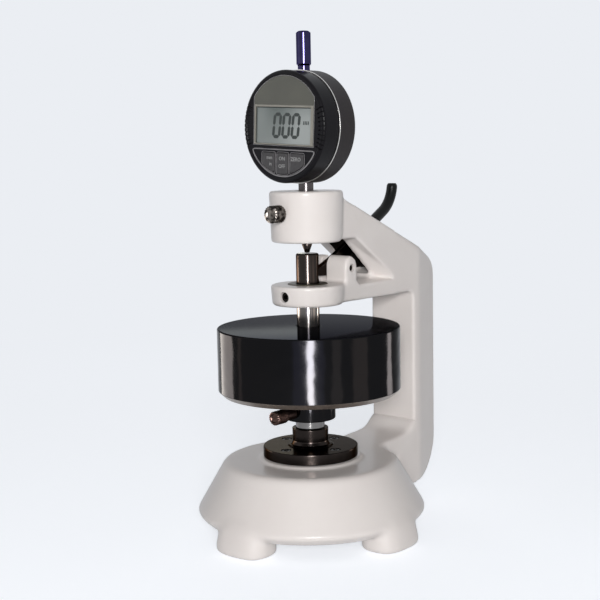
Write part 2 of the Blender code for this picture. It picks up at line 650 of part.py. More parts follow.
def make_spindle(machine, steel, chrome):
    """Ground shaft with the lever's notch, the presser foot and the weight."""
    edge = 0.0010
    shaft = turned([(0, SPINDLE_BOTTOM), (SPINDLE_RADIUS - edge / 2, SPINDLE_BOTTOM),
                    (SPINDLE_RADIUS, SPINDLE_BOTTOM + edge / 2),
                    (SPINDLE_RADIUS, SPINDLE_TOP - edge), (SPINDLE_RADIUS - edge, SPINDLE_TOP),
                    (0, SPINDLE_TOP)], 24)
    spindle = make_object("spindle_shaft", shaft, steel, machine)
    half = NOSE_RADIUS + RUN
    front = NOSE_Y - NOSE_RADIUS - 2 * RUN
    notch = [(front, NOSE_Z - half), (SPINDLE_RADIUS + 0.002, NOSE_Z - half),
             (SPINDLE_RADIUS + 0.002, NOSE_Z + half), (front, NOSE_Z + half)]
    combine(spindle, make_object("notch_shape", side_prism(notch, 2 * SPINDLE_RADIUS), None,
                                 machine))
    combine(spindle, cylinder_tool("stud_hole", PRESSER_STUD_RADIUS + SEAT,
                                   PRESSER_STUD_LENGTH + 0.001 + 0.001, machine,
                                   (0, 0, SPINDLE_BOTTOM - 0.001)))
    stud_top = SPINDLE_BOTTOM + PRESSER_STUD_LENGTH
    foot_top = PRESSER_BOTTOM + PRESSER_HEIGHT
    foot = turned([(0, PRESSER_BOTTOM), (PRESSER_RADIUS - 0.0002, PRESSER_BOTTOM),
                   (PRESSER_RADIUS, PRESSER_BOTTOM + 0.0002),
                   (PRESSER_RADIUS, foot_top - 0.0006), (PRESSER_RADIUS - 0.0006, foot_top),
                   (PRESSER_STUD_RADIUS, foot_top), (PRESSER_STUD_RADIUS, stud_top), (0, stud_top)],
                  28)
    make_object("presser_foot", foot, chrome, machine)

    bore = SPINDLE_RADIUS + SEAT
    lip = 0.0008
    disc = turned([(bore, SPINDLE_BOTTOM), (WEIGHT_BOSS_RADIUS - lip, SPINDLE_BOTTOM),
                   (WEIGHT_BOSS_RADIUS, SPINDLE_BOTTOM + lip), (WEIGHT_BOSS_RADIUS, WEIGHT_BOTTOM),
                   (WEIGHT_RADIUS - WEIGHT_CHAMFER, WEIGHT_BOTTOM),
                   (WEIGHT_RADIUS, WEIGHT_BOTTOM + WEIGHT_CHAMFER),
                   (WEIGHT_RADIUS, WEIGHT_TOP - lip), (WEIGHT_RADIUS - lip, WEIGHT_TOP),
                   (bore + lip, WEIGHT_TOP), (bore, WEIGHT_TOP - lip)], 48, True)
    weight = make_object("weight", disc, chrome, machine)
    combine(weight, cylinder_tool("weight_screw_hole", THUMB_SHANK_RADIUS + SEAT,
                                  1.5 * WEIGHT_BOSS_RADIUS, machine,
                                  (0, 0, SPINDLE_BOTTOM + WEIGHT_SCREW_RISE), TO_FRONT, 12))


def thumbscrew(shank_length, neck_length, head_radius, head_length):
    """A knurled screw along Z, its neck's lower face at 0 and its shank below."""
    count = 2 * KNURL_TEETH
    edge = 0.0006
    head = neck_length
    return loft([
        round_ring(0.6 * THUMB_SHANK_RADIUS, -shank_length, count),
        round_ring(THUMB_SHANK_RADIUS, -shank_length + 0.0008, count),
        round_ring(THUMB_SHANK_RADIUS, 0, count),
        round_ring(THUMB_NECK_RADIUS, 0, count),
        round_ring(THUMB_NECK_RADIUS, head, count),
        knurled_ring(head_radius - edge, head, 0),
        knurled_ring(head_radius, head + edge),
        knurled_ring(head_radius, head + head_length - edge),
        knurled_ring(head_radius - edge, head + head_length, 0),
        round_ring(0.55 * head_radius, head + head_length, count),
        round_ring(0.45 * head_radius, head + head_length - 0.0006, count),
    ])


def make_thumbscrews(machine, steel):
    """The screw that clamps the indicator's bush, and the one that holds the weight."""
    reach = STEM_BUSH_RADIUS + SEAT
    clamp = make_object("stem_clamp_screw",
                        thumbscrew(BOSS_RADIUS + SEAT - reach, 0.0010, CLAMP_HEAD_RADIUS,
                                   CLAMP_HEAD_LENGTH), steel, machine)
    clamp.location = (0, -BOSS_RADIUS - SEAT, CLAMP_HEIGHT)
    clamp.rotation_euler = TO_FRONT
    reach = SPINDLE_RADIUS + SEAT
    holder = make_object("weight_clamp_screw",
                         thumbscrew(WEIGHT_BOSS_RADIUS + SEAT - reach, WEIGHT_NECK_LENGTH,
                                    WEIGHT_HEAD_RADIUS, WEIGHT_HEAD_LENGTH), steel, machine)
    holder.location = (0, -WEIGHT_BOSS_RADIUS - SEAT, SPINDLE_BOTTOM + WEIGHT_SCREW_RISE)
    holder.rotation_euler = TO_FRONT


def make_guides(machine, bronze, steel):
    """Guide bush in the ring, its grub screw, and the split bush of the indicator."""
    bore = SPINDLE_RADIUS + RUN
    top = RING_TOP + BUSH_PROUD
    bottom = RING_BOTTOM - BUSH_PROUD
    bush = turned([(bore, bottom), (BUSH_RADIUS, bottom), (BUSH_RADIUS, top - 0.0003),
                   (BUSH_RADIUS - 0.0003, top), (bore, top)],
                  28, True)
    make_object("guide_bush", bush, bronze, machine)
    grub = loft([round_ring(0.6 * GRUB_RADIUS, 0), round_ring(GRUB_RADIUS, 0.0008),
                 round_ring(GRUB_RADIUS, GRUB_LENGTH - 0.0003),
                 round_ring(GRUB_RADIUS - 0.0003, GRUB_LENGTH),
                 hexagon_ring(0.5 * GRUB_RADIUS, GRUB_LENGTH),
                 hexagon_ring(0.5 * GRUB_RADIUS, 0.6 * GRUB_LENGTH)])
    screw = make_object("guide_grub_screw", grub, steel, machine)
    screw.location = (0, -BUSH_RADIUS - SEAT, (RING_TOP + RING_BOTTOM) / 2)
    screw.rotation_euler = TO_FRONT
    inner = STEM_RADIUS + SEAT
    low = BOSS_BOTTOM + 0.0045
    sleeve = turned([(inner, low), (STEM_BUSH_RADIUS, low), (STEM_BUSH_RADIUS, BOSS_TOP),
                     (inner, BOSS_TOP)], 28, True)
    split = make_object("stem_bush", sleeve, bronze, machine)
    slit = [(inner - 0.001, low - 0.001), (STEM_BUSH_RADIUS + 0.001, low - 0.001),
            (STEM_BUSH_RADIUS + 0.001, BOSS_TOP + 0.001), (inner - 0.001, BOSS_TOP + 0.001)]
    combine(split, make_object("slit_shape", side_prism(slit, BUSH_SLIT / 2), None, machine))


def link_outline(start, start_radius, end, end_radius, steps=10):
    """Outline of a flat link: two round ends joined by tangents."""
    heading = math.atan2(end[1] - start[1], end[0] - start[0])
    length = math.hypot(end[0] - start[0], end[1] - start[1])
    spread = math.degrees(math.acos((start_radius - end_radius) / length))
    turn = math.degrees(heading)
    outline = arc(start, start_radius, turn + spread, turn + 360 - spread, steps)
    outline += arc(end, end_radius, turn - spread, turn + spread, steps)
    return outline


def handle_path(first, last=None):
    """Centre line of the handle from one distance along it, as points in X = 0."""
    rise = math.radians(HANDLE_RISE)
    end_rise = math.radians(HANDLE_END_RISE)
    points = []
    for i in range(2):
        reach = first + (HANDLE_STRAIGHT - first) * i / 2
        points.append((0, reach * math.cos(rise), reach * math.sin(rise)))
    bend = (HANDLE_STRAIGHT * math.cos(rise) - HANDLE_BEND_RADIUS * math.sin(rise),
            HANDLE_STRAIGHT * math.sin(rise) + HANDLE_BEND_RADIUS * math.cos(rise))
    finish = end_rise - (last or 0) / HANDLE_BEND_RADIUS
    for i in range(9):
        angle = rise + (finish - rise) * i / 8
        points.append((0, bend[0] + HANDLE_BEND_RADIUS * math.sin(angle),
                       bend[1] - HANDLE_BEND_RADIUS * math.cos(angle)))
    return points


def make_lever(machine, steel, rubber):
    """Flat lever with its rod, turning on a pin between the lugs, and its sleeve."""
    pivot = make_empty("lever_pivot", machine, (0, PIVOT_BACK, PIVOT_HEIGHT))
    nose = (NOSE_Y - PIVOT_BACK, NOSE_Z - PIVOT_HEIGHT)
    rise = math.radians(HANDLE_RISE)
    tail = (TAIL_LENGTH * math.cos(rise), TAIL_LENGTH * math.sin(rise))
    half = LEVER_THICKNESS / 2
    neck = 0.62 * NOSE_RADIUS
    lever = make_object("lift_lever", side_prism(link_outline((0, 0), LEVER_EYE, nose, neck),
                                                 half), steel, pivot)
    tip = arc(nose, NOSE_RADIUS, 0, 340, 17)
    combine(lever, make_object("lever_nose", side_prism(tip, half - 0.00005), None, pivot),
            "UNION")
    combine(lever, make_object("lever_tail", side_prism(link_outline((0, 0), LEVER_EYE - 0.0002,
                                                                     tail, TAIL_RADIUS),
                                                        half - 0.00005), None, pivot), "UNION")
    path = handle_path(TAIL_LENGTH - 0.006, SLEEVE_CAP + SEAT)
    side = [(1, 0, 0)] * len(path)
    combine(lever, make_object("lever_rod", loft(tube_rings(path, side, ROD_RADIUS)), None,
                               pivot), "UNION")
    combine(lever, cylinder_tool("lever_eye_hole", PIN_RADIUS + RUN, 4 * LEVER_THICKNESS, pivot,
                                 (-2 * LEVER_THICKNESS, 0, 0), TO_RIGHT, 14))
    outside = handle_path(SLEEVE_START)
    inside = handle_path(SLEEVE_START, SLEEVE_CAP)
    side = [(1, 0, 0)] * len(outside)
    rings = list(reversed(tube_rings(inside, side, ROD_RADIUS + SEAT)))
    rings += tube_rings(outside, side, SLEEVE_RADIUS)
    make_object("lever_sleeve", loft(rings), rubber, pivot)
    length = ARM_WIDTH - 2 * PIN_RECESS
    pin = make_object("lever_pivot_pin",
                      turned([(0, 0), (PIN_RADIUS - 0.0003, 0), (PIN_RADIUS, 0.0003),
                              (PIN_RADIUS, length - 0.0003), (PIN_RADIUS - 0.0003, length),
                              (0, length)], 16), steel, machine)
    pin.location = (-length / 2, PIVOT_BACK, PIVOT_HEIGHT)
    pin.rotation_euler = TO_RIGHT


def make_case(machine, face, plastic, steel):
    """Rear housing of the indicator with its back cover, cell and seam ring."""
    ledge = CASE_BORE - LEDGE_WIDTH
    spigot_bore = SPIGOT_RADIUS - SPIGOT_WALL
    cover_seat = -COVER_FRONT + SEAT
    profile = [(CASE_RADIUS, CASE_FRONT), (SPIGOT_RADIUS, CASE_FRONT),
               (SPIGOT_RADIUS, CASE_FRONT + SPIGOT_LENGTH), (spigot_bore, CASE_FRONT + SPIGOT_LENGTH),
               (spigot_bore, CASE_FRONT - 0.0012), (CASE_BORE, CASE_FRONT - 0.0024),
               (CASE_BORE, cover_seat + LEDGE_THICKNESS), (ledge, cover_seat + LEDGE_THICKNESS),
               (ledge, cover_seat), (CASE_BORE - SEAT, cover_seat), (CASE_BORE - SEAT, -CASE_BACK),
               (CASE_RADIUS - 0.0012, -CASE_BACK), (CASE_RADIUS, -CASE_BACK + 0.0012)]
    case = make_object("indicator_case", turned(profile, 40, True), plastic, face)
    combine(case, cylinder_tool("case_stem_hole", STEM_RADIUS + SEAT, 2.5 * CASE_WALL, machine,
                                (0, 0, INDICATOR_HEIGHT - CASE_RADIUS - CASE_WALL)))
    combine(case, cylinder_tool("case_neck_hole", CAP_NECK_RADIUS + SEAT, 3 * CASE_WALL, machine,
                                (0, 0, INDICATOR_HEIGHT + CASE_BORE - CASE_WALL)))
    rim = CASE_BORE - 2 * SEAT
    cover = make_object("indicator_back_cover",
                        turned([(0, -CASE_BACK + 0.0001), (rim - 0.0003, -CASE_BACK + 0.0001),
                                (rim, -CASE_BACK + 0.0004), (rim, -COVER_FRONT),
                                (0, -COVER_FRONT)], 32), plastic, face)
    combine(cover, cylinder_tool("cell_cover_hole", CELL_COVER_RADIUS + SEAT, 2 * COVER_THICKNESS,
                                 face, (0, -CELL_DROP, -CASE_BACK - COVER_THICKNESS / 2),
                                 steps=32))
    circle = CASE_BORE - LEDGE_WIDTH / 2 - 0.0007
    head_seat = -CASE_BACK + 0.0009
    for i in range(4):
        angle = math.tau * (i + 0.5) / 4
        place = (circle * math.cos(angle), circle * math.sin(angle))
        combine(cover, cylinder_tool(f"cover_hole_{i + 1}", COVER_SCREW_RADIUS + SEAT,
                                     2 * COVER_THICKNESS, face,
                                     (*place, -CASE_BACK - 0.0005), steps=8))
        combine(cover, cylinder_tool(f"cover_counterbore_{i + 1}", COVER_HEAD_RADIUS + SEAT,
                                     0.0010, face, (*place, head_seat - 0.0010), steps=12))
        combine(case, cylinder_tool(f"ledge_hole_{i + 1}", COVER_SCREW_RADIUS + SEAT,
                                    4 * LEDGE_THICKNESS, face,
                                    (*place, cover_seat - LEDGE_THICKNESS), steps=8))
        screw = make_object(f"back_cover_screw_{i + 1}",
                            loft([round_ring(COVER_SCREW_RADIUS, 0.0023),
                                  round_ring(COVER_SCREW_RADIUS, -SEAT),
                                  round_ring(COVER_HEAD_RADIUS, -SEAT),
                                  round_ring(COVER_HEAD_RADIUS, -0.0007),
                                  round_ring(COVER_HEAD_RADIUS - 0.0003, -0.0010)]),
                            steel, face)
        screw.location = (*place, head_seat)
    make_object("seam_ring", turned([(CASE_BORE, CASE_FRONT + SEAT),
                                     (CASE_RADIUS + SEAM_PROUD, CASE_FRONT + SEAT),
                                     (CASE_RADIUS + SEAM_PROUD, CASE_FRONT + SEAT + SEAM_THICKNESS),
                                     (CASE_BORE, CASE_FRONT + SEAT + SEAM_THICKNESS)], 40, True),
                steel, face)
    return spigot_bore


def make_cell(face, plastic, steel):
    """Button cell and the cover that a coin turns."""
    outer = -CASE_BACK - CELL_COVER_PROUD
    inner = -COVER_FRONT - SEAT
    cover = make_object("cell_cover",
                        turned([(0, outer), (CELL_COVER_RADIUS - 0.0004, outer),
                                (CELL_COVER_RADIUS, outer + 0.0004), (CELL_COVER_RADIUS, inner),
                                (0, inner)], 28), plastic, face)
    cover.location = (0, -CELL_DROP, 0)
    half = COIN_SLOT / 2
    length = 0.72 * CELL_COVER_RADIUS
    slot = prism([(-length, -half), (length, -half), (length, half), (-length, half)],
                 outer - 0.001, outer + 0.0010)
    tool = make_object("coin_slot", slot, None, face)
    tool.location = (0, -CELL_DROP, 0)
    combine(cover, tool)
    back = inner + SEAT
    cell = make_object("button_cell",
                       turned([(0, back), (CELL_RADIUS, back),
                               (CELL_RADIUS, back + 0.7 * CELL_THICKNESS),
                               (0.86 * CELL_RADIUS, back + 0.75 * CELL_THICKNESS),
                               (0.84 * CELL_RADIUS, back + CELL_THICKNESS),
                               (0, back + CELL_THICKNESS)], 24), steel, face)
    cell.location = (0, -CELL_DROP, 0)


def window_outline(grow=0.0):
    """Arched outline with a straight bottom and sides, as (right, up)."""
    half = WINDOW_HALF_WIDTH + grow
    arch = WINDOW_ARCH + grow
    spring = math.degrees(math.acos(half / arch))
    bottom = WINDOW_BOTTOM - grow
    outline = [(-half, bottom), (half, bottom)]
    return outline + arc((0, 0), arch, spring, 180 - spring, 20)


def button_outline(name, grow=0.0):
    """Outline of one of the three buttons, as (right, up)."""
    top = BUTTON_TOP + grow
    reach = BUTTON_ARC + grow
    if name == "middle":
        half = BUTTON_MIDDLE + grow
        low = math.degrees(math.asin(half / reach))
        return [(half, top), (-half, top)] + arc((0, 0), reach, 270 - low, 270 + low, 4)
    inner = BUTTON_INNER - grow
    outer = BUTTON_OUTER + grow
    near = math.degrees(math.asin(inner / reach))
    far = math.degrees(math.asin(outer / reach))
    side = arc((0, 0), reach, 270 + near, 270 + far, 7)
    outline = [(inner, top)] + side + [(outer, top - 0.0020), (outer - 0.0020, top)]
    if name == "left":
        outline = [(-x, y) for x, y in outline]
    return outline


def make_head(face, plastic, glass, lcd, board, rubber, key, spigot_bore):
    """Turning front of the indicator: bezel, window, display, board, mat and buttons."""
    outer = CASE_RADIUS - BEZEL_INSET
    rim = outer - BEZEL_RIM
    profile = [(0, FACE_BACK), (CASE_BORE, FACE_BACK), (CASE_BORE, BEZEL_BACK),
               (outer, BEZEL_BACK), (outer, BEZEL_FRONT - 0.0018),
               (outer - 0.0005, BEZEL_FRONT - 0.0007), (outer - 0.0015, BEZEL_FRONT),
               (rim + 0.0006, BEZEL_FRONT), (rim, FACE_FRONT), (0, FACE_FRONT)]
    bezel = make_object("bezel", turned(profile, 40), plastic, face)
    ribs = bmesh.new()
    for side in (0, 180):
        for i in range(RIB_COUNT):
            angle = math.radians(side + RIB_PITCH * (i - (RIB_COUNT - 1) / 2))
            length = outer - FACE_RECESS - RIB_ROOT
            depth = 2 * FACE_RECESS + RIB_PROUD
            middle = (RIB_ROOT + length / 2, 0, BEZEL_FRONT + RIB_PROUD - depth / 2)
            place = Matrix.Rotation(angle, 4, "Z") @ Matrix.Translation(middle)
            size = Matrix.Diagonal((length, RIB_WIDTH, depth, 1))
            bmesh.ops.create_cube(ribs, size=1, matrix=place @ size)
    combine(bezel, make_object("rib_shapes", ribs, None, face), "UNION")
    cut = (FACE_BACK - 0.002, BEZEL_FRONT + 0.002)
    combine(bezel, make_object("window_opening", prism(window_outline(SEAT), *cut), None, face))
    make_object("display_window", prism(window_outline(), WINDOW_BACK, FACE_FRONT + 0.0002),
                glass, face)
    low = WINDOW_BOTTOM + 0.0004
    panel = [(-PANEL_HALF_WIDTH, low), (PANEL_HALF_WIDTH, low), (PANEL_HALF_WIDTH, PANEL_TOP),
             (-PANEL_HALF_WIDTH, PANEL_TOP)]
    make_object("display_panel", prism(panel, PANEL_BACK, PANEL_FRONT), lcd, face)
    make_object("circuit_board", turned([(0, BOARD_FRONT - BOARD_THICKNESS),
                                         (CASE_BORE - SEAT, BOARD_FRONT - BOARD_THICKNESS),
                                         (CASE_BORE - SEAT, BOARD_FRONT), (0, BOARD_FRONT)], 36),
                board, face)
    mat_top = BUTTON_TOP + 0.0010
    edge = BUTTON_ARC + 0.0010
    spread = math.degrees(math.acos(-mat_top / edge))
    mat = arc((0, 0), edge, 270 - spread, 270 + spread, 16)
    make_object("key_mat", prism(mat, MAT_BACK, MAT_BACK + MAT_THICKNESS), rubber, face)
    for name in ("left", "middle", "right"):
        combine(bezel, make_object(f"button_opening_{name}",
                                   prism(button_outline(name, SEAT), *cut), None, face))
        make_object(f"button_{name}", prism(button_outline(name), BUTTON_BACK,
                                            FACE_FRONT + BUTTON_PROUD), key, face)
    plate_front = CASE_FRONT + SPIGOT_LENGTH - 0.0006
    rim = spigot_bore - SEAT
    make_object("scale_board", turned([(0, plate_front - BOARD_THICKNESS),
                                       (rim, plate_front - BOARD_THICKNESS),
                                       (rim, plate_front), (0, plate_front)], 36), board, face)


def make_plunger(machine, steel, chrome, plastic):
    """Stem, plunger, contact point, scale carrier, return spring and dust cap."""
    bore = PLUNGER_RADIUS + RUN
    stem_top = INDICATOR_HEIGHT - CASE_BORE + 0.0006
    make_object("indicator_stem",
                turned([(bore, STEM_BOTTOM), (STEM_RADIUS - 0.0004, STEM_BOTTOM),
                        (STEM_RADIUS, STEM_BOTTOM + 0.0004), (STEM_RADIUS, stem_top),
                        (bore, stem_top)], 24, True), chrome, machine)
    rod_bottom = CONTACT_TOP + SEAT
    hole = CONTACT_STUD_RADIUS + SEAT
    hole_top = CONTACT_TOP + CONTACT_STUD + 0.0005
    make_object("plunger_rod",
                turned([(0, hole_top), (hole, hole_top), (hole, rod_bottom),
                        (PLUNGER_RADIUS, rod_bottom), (PLUNGER_RADIUS, PLUNGER_TOP - 0.0004),
                        (PLUNGER_RADIUS - 0.0004, PLUNGER_TOP), (0, PLUNGER_TOP)], 18),
                chrome, machine)
    ball = 0.0015
    tip = [(x, y) for x, y in arc((0, CONTACT_BOTTOM + ball), ball, -90, 30, 5)]
    tip[0] = (0, CONTACT_BOTTOM)
    stud_top = CONTACT_TOP + CONTACT_STUD
    make_object("contact_point",
                turned(tip + [(0.0011, CONTACT_BOTTOM + 0.0027),
                              (CONTACT_RADIUS, CONTACT_BOTTOM + 0.0058),
                              (CONTACT_RADIUS, CONTACT_TOP), (CONTACT_STUD_RADIUS, CONTACT_TOP),
                              (CONTACT_STUD_RADIUS, stud_top), (0, stud_top)], 20),
                steel, machine)
    outline = [(-CARRIER_HALF_WIDTH, -CARRIER_FRONT), (CARRIER_HALF_WIDTH, -CARRIER_FRONT),
               (CARRIER_HALF_WIDTH, CARRIER_BACK), (-CARRIER_HALF_WIDTH, CARRIER_BACK)]
    carrier = make_object("scale_carrier", prism(outline, INDICATOR_HEIGHT, CARRIER_TOP),
                          plastic, machine)
    carrier.rotation_euler.z = math.radians(FACE_TURN)
    combine(carrier, cylinder_tool("carrier_bore", PLUNGER_RADIUS + SEAT, 2 * CARRIER_HEIGHT,
                                   machine, (0, 0, INDICATOR_HEIGHT - CARRIER_HEIGHT / 2)))
    low = CARRIER_TOP + SEAT + SPRING_WIRE
    high = NECK_BOTTOM - SEAT - SPRING_WIRE
    count = 9 * SPRING_TURNS
    path, side = [], []
    for i in range(count + 1):
        angle = math.tau * i / 9
        side.append((math.cos(angle), math.sin(angle), 0))
        path.append((SPRING_RADIUS * math.cos(angle), SPRING_RADIUS * math.sin(angle),
                     low + (high - low) * i / count))
    make_object("return_spring", loft(tube_rings(path, side, SPRING_WIRE, 5)), steel, machine)
    inside = PLUNGER_RADIUS + 2 * RUN
    roof = CAP_TOP - 0.0030
    make_object("dust_cap",
                turned([(0, roof), (inside, roof), (inside, NECK_BOTTOM),
                        (CAP_NECK_RADIUS, NECK_BOTTOM),
                        (CAP_NECK_RADIUS, CAP_BOTTOM), (CAP_RADIUS - 0.0006, CAP_BOTTOM + 0.0002),
                        (CAP_RADIUS, CAP_BOTTOM + 0.0010), (CAP_RADIUS, CAP_TOP - 0.0012),
                        (CAP_RADIUS - 0.0009, CAP_TOP - 0.0002), (CAP_RADIUS - 0.0018, CAP_TOP),
                        (0, CAP_TOP)], 24), chrome, machine)


def main():
    clear_scene()
    paint = painted("ivory enamel", (0.78, 0.75, 0.72), 0.35)
    dark_steel = painted("ground steel", (0.16, 0.15, 0.14), 0.25, 1.0)
    chrome = painted("hard chrome", (0.60, 0.60, 0.61), 0.08, 1.0)
    bronze = painted("sintered bronze", (0.12, 0.11, 0.09), 0.45, 1.0)
    plastic = painted("black moulding", (0.012, 0.012, 0.014), 0.42)
    rubber = painted("black rubber", (0.010, 0.011, 0.010), 0.55)
    glass = painted("smoked window", (0.12, 0.12, 0.09), 0.10, 0.0, 0.6)
    lcd = painted("display glass", (0.28, 0.33, 0.30), 0.20)
    board = painted("circuit board", (0.02, 0.16, 0.06), 0.45)
    key = painted("grey key", (0.035, 0.035, 0.037), 0.50)

    machine = make_empty("spindle_axis", place=(0, AXIS_Y, 0))
    turned_face = make_empty("indicator_axis", machine, (0, 0, INDICATOR_HEIGHT),
                             (0, 0, math.radians(FACE_TURN)))
    face = make_empty("indicator_face", turned_face, turn=TO_FRONT)

    make_base(machine, paint)
    make_arm(machine, paint)
    make_arm_fasteners(machine, dark_steel)
    make_anvil(machine, dark_steel)
    make_spindle(machine, dark_steel, chrome)
    make_guides(machine, bronze, dark_steel)
    make_thumbscrews(machine, chrome)
    make_lever(machine, dark_steel, rubber)
    spigot_bore = make_case(machine, face, plastic, chrome)
    make_cell(face, plastic, chrome)
    make_head(face, plastic, glass, lcd, board, rubber, key, spigot_bore)
    make_plunger(machine, dark_steel, chrome, plastic)


main()
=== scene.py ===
import math

import bmesh
import bpy
import numpy as np
from mathutils import Matrix, Vector


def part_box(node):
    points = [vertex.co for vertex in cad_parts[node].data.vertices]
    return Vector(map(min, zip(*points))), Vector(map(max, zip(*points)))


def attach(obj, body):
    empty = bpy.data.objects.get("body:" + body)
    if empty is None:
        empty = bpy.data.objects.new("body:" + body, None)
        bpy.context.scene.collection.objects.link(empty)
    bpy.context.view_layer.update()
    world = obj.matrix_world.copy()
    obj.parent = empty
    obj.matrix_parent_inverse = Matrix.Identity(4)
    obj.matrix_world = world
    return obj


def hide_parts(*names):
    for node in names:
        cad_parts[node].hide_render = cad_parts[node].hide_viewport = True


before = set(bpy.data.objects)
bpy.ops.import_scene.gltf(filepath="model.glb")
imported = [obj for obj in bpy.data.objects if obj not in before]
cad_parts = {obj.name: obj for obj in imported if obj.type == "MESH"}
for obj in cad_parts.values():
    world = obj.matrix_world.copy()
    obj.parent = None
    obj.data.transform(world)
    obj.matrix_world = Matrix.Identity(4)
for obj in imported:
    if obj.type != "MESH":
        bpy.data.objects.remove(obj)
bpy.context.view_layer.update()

# Base casting
# A hollow cone of grey iron on four cast feet, with a saddle at the back for the column.
# It is sand cast, then stove enamelled in ivory, so its edges are soft and its skin is
# slightly uneven.
MM = 0.001
weight_low, weight_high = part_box("weight")
AXIS = Matrix.Translation((0, (weight_low.y + weight_high.y) / 2, 0))


def linear(code):
    """An sRGB hex colour as linear red, green, blue and alpha."""
    parts = [int(code[i:i + 2], 16) / 255 for i in (0, 2, 4)]
    return [c / 12.92 if c < 0.04045 else ((c + 0.055) / 1.055) ** 2.4 for c in parts] + [1]


def add_node(tree, kind, inputs=None, **settings):
    """Add a shader node; each input is a value or the output of another node."""
    made = tree.nodes.new(kind)
    for name, value in settings.items():
        setattr(made, name, value)
    for socket, value in (inputs or {}).items():
        if isinstance(value, bpy.types.NodeSocket):
            tree.links.new(value, made.inputs[socket])
        else:
            made.inputs[socket].default_value = value
    return made


def new_material(name, **sockets):
    """A material and its tree, with values set on the shader's own sockets."""
    made = bpy.data.materials.new(name)
    made.use_nodes = True
    shader = made.node_tree.nodes["Principled BSDF"]
    for socket, value in sockets.items():
        shader.inputs[socket.replace("_", " ")].default_value = value
    return made, made.node_tree, shader


def mottled(name, first, second, patch, detail, relief=(), **sockets):
    """A finish that wanders between two tones in patches of a size in millimetres. Each row
    of relief is one more layer of unevenness: its size, detail, strength and depth."""
    made, tree, shader = new_material(name, **sockets)
    place = add_node(tree, "ShaderNodeTexCoord").outputs["Object"]
    cloud = add_node(tree, "ShaderNodeTexNoise", {
        "Vector": place, "Scale": 1 / (patch * MM), "Detail": detail})
    tone = add_node(tree, "ShaderNodeMix", {
        "Factor": cloud.outputs["Fac"], "A": linear(first), "B": linear(second)},
        data_type="RGBA")
    tree.links.new(tone.outputs["Result"], shader.inputs["Base Color"])
    for size, fineness, strength, depth in relief:
        swell = add_node(tree, "ShaderNodeTexNoise", {
            "Vector": place, "Scale": 1 / (size * MM), "Detail": fineness})
        bump = add_node(tree, "ShaderNodeBump", {
            "Height": swell.outputs["Fac"], "Strength": strength, "Distance": depth * MM})
        for below in shader.inputs["Normal"].links:
            tree.links.new(below.from_socket, bump.inputs["Normal"])
        tree.links.new(bump.outputs["Normal"], shader.inputs["Normal"])
    return made


def rounded(corners, closed=True, step=12):
    """Points of an outline; a corner given as (x, y, radius) becomes an arc."""
    points = []
    for i, corner in enumerate(corners):
        ends = not closed and i in (0, len(corners) - 1)
        if ends or len(corner) < 3 or not corner[2]:
            points.append((corner[0], corner[1]))
            continue
        here = Vector(corner[:2])
        first = (Vector(corners[i - 1][:2]) - here).normalized()
        second = (Vector(corners[(i + 1) % len(corners)][:2]) - here).normalized()
        half = first.angle(second) / 2
        middle = here + (first + second).normalized() * corner[2] / math.sin(half)
        reach = corner[2] / math.tan(half)
        start = here + first * reach - middle
        end = here + second * reach - middle
        begin = math.atan2(start.y, start.x)
        turn = (math.atan2(end.y, end.x) - begin + math.pi) % math.tau - math.pi
        count = max(2, math.ceil(abs(math.degrees(turn)) / step))
        for k in range(count + 1):
            angle = begin + turn * k / count
            points.append((middle.x + corner[2] * math.cos(angle),
                           middle.y + corner[2] * math.sin(angle)))
    return points


def lathe(profile, steps, matrix=AXIS, closed=False):
    """Turn a profile of (radius, height) in millimetres about Z, then place it."""
    work = bmesh.new()
    verts = [work.verts.new((x * MM, 0, z * MM)) for x, z in profile]
    edges = [work.edges.new(pair) for pair in zip(verts, verts[1:])]
    if closed:
        edges.append(work.edges.new((verts[-1], verts[0])))
    bmesh.ops.spin(work, geom=verts + edges, axis=(0, 0, 1), cent=(0, 0, 0), dvec=(0, 0, 0),
                   angle=math.tau, steps=steps, use_duplicate=False)
    bmesh.ops.remove_doubles(work, verts=work.verts, dist=0.005 * MM)
    bmesh.ops.transform(work, matrix=matrix, verts=work.verts)
    bmesh.ops.recalc_face_normals(work, faces=work.faces)
    return work


def extrude(outline, low, high, matrix=AXIS, bevel=0):
    """Push a flat outline in millimetres from one height to another, its rims bevelled."""
    work = bmesh.new()
    face = work.faces.new([work.verts.new((x * MM, y * MM, low * MM)) for x, y in outline])
    grown = bmesh.ops.extrude_face_region(work, geom=[face])
    top = [part for part in grown["geom"] if isinstance(part, bmesh.types.BMVert)]
    bmesh.ops.translate(work, verts=top, vec=(0, 0, (high - low) * MM))
    if bevel:
        rims = [edge for edge in work.edges
                if abs(edge.verts[0].co.z - edge.verts[1].co.z) < 1e-9]
        bmesh.ops.bevel(work, geom=rims, offset=bevel * MM, segments=3, profile=0.5,
                        affect="EDGES")
    bmesh.ops.transform(work, matrix=matrix, verts=work.verts)
    bmesh.ops.recalc_face_normals(work, faces=work.faces)
    return work


# Outlines drawn as (back, up) run along X once this has turned them
SIDEWAYS = Matrix(((0, 0, 1, 0), (1, 0, 0, 0), (0, 1, 0, 0), (0, 0, 0, 1)))
SIDE_VIEW = AXIS @ SIDEWAYS


def slab(outline, half, matrix=SIDE_VIEW, bevel=0):
    """A side outline made solid, equally far to the left and to the right."""
    return extrude(outline, -half, half, matrix, bevel)


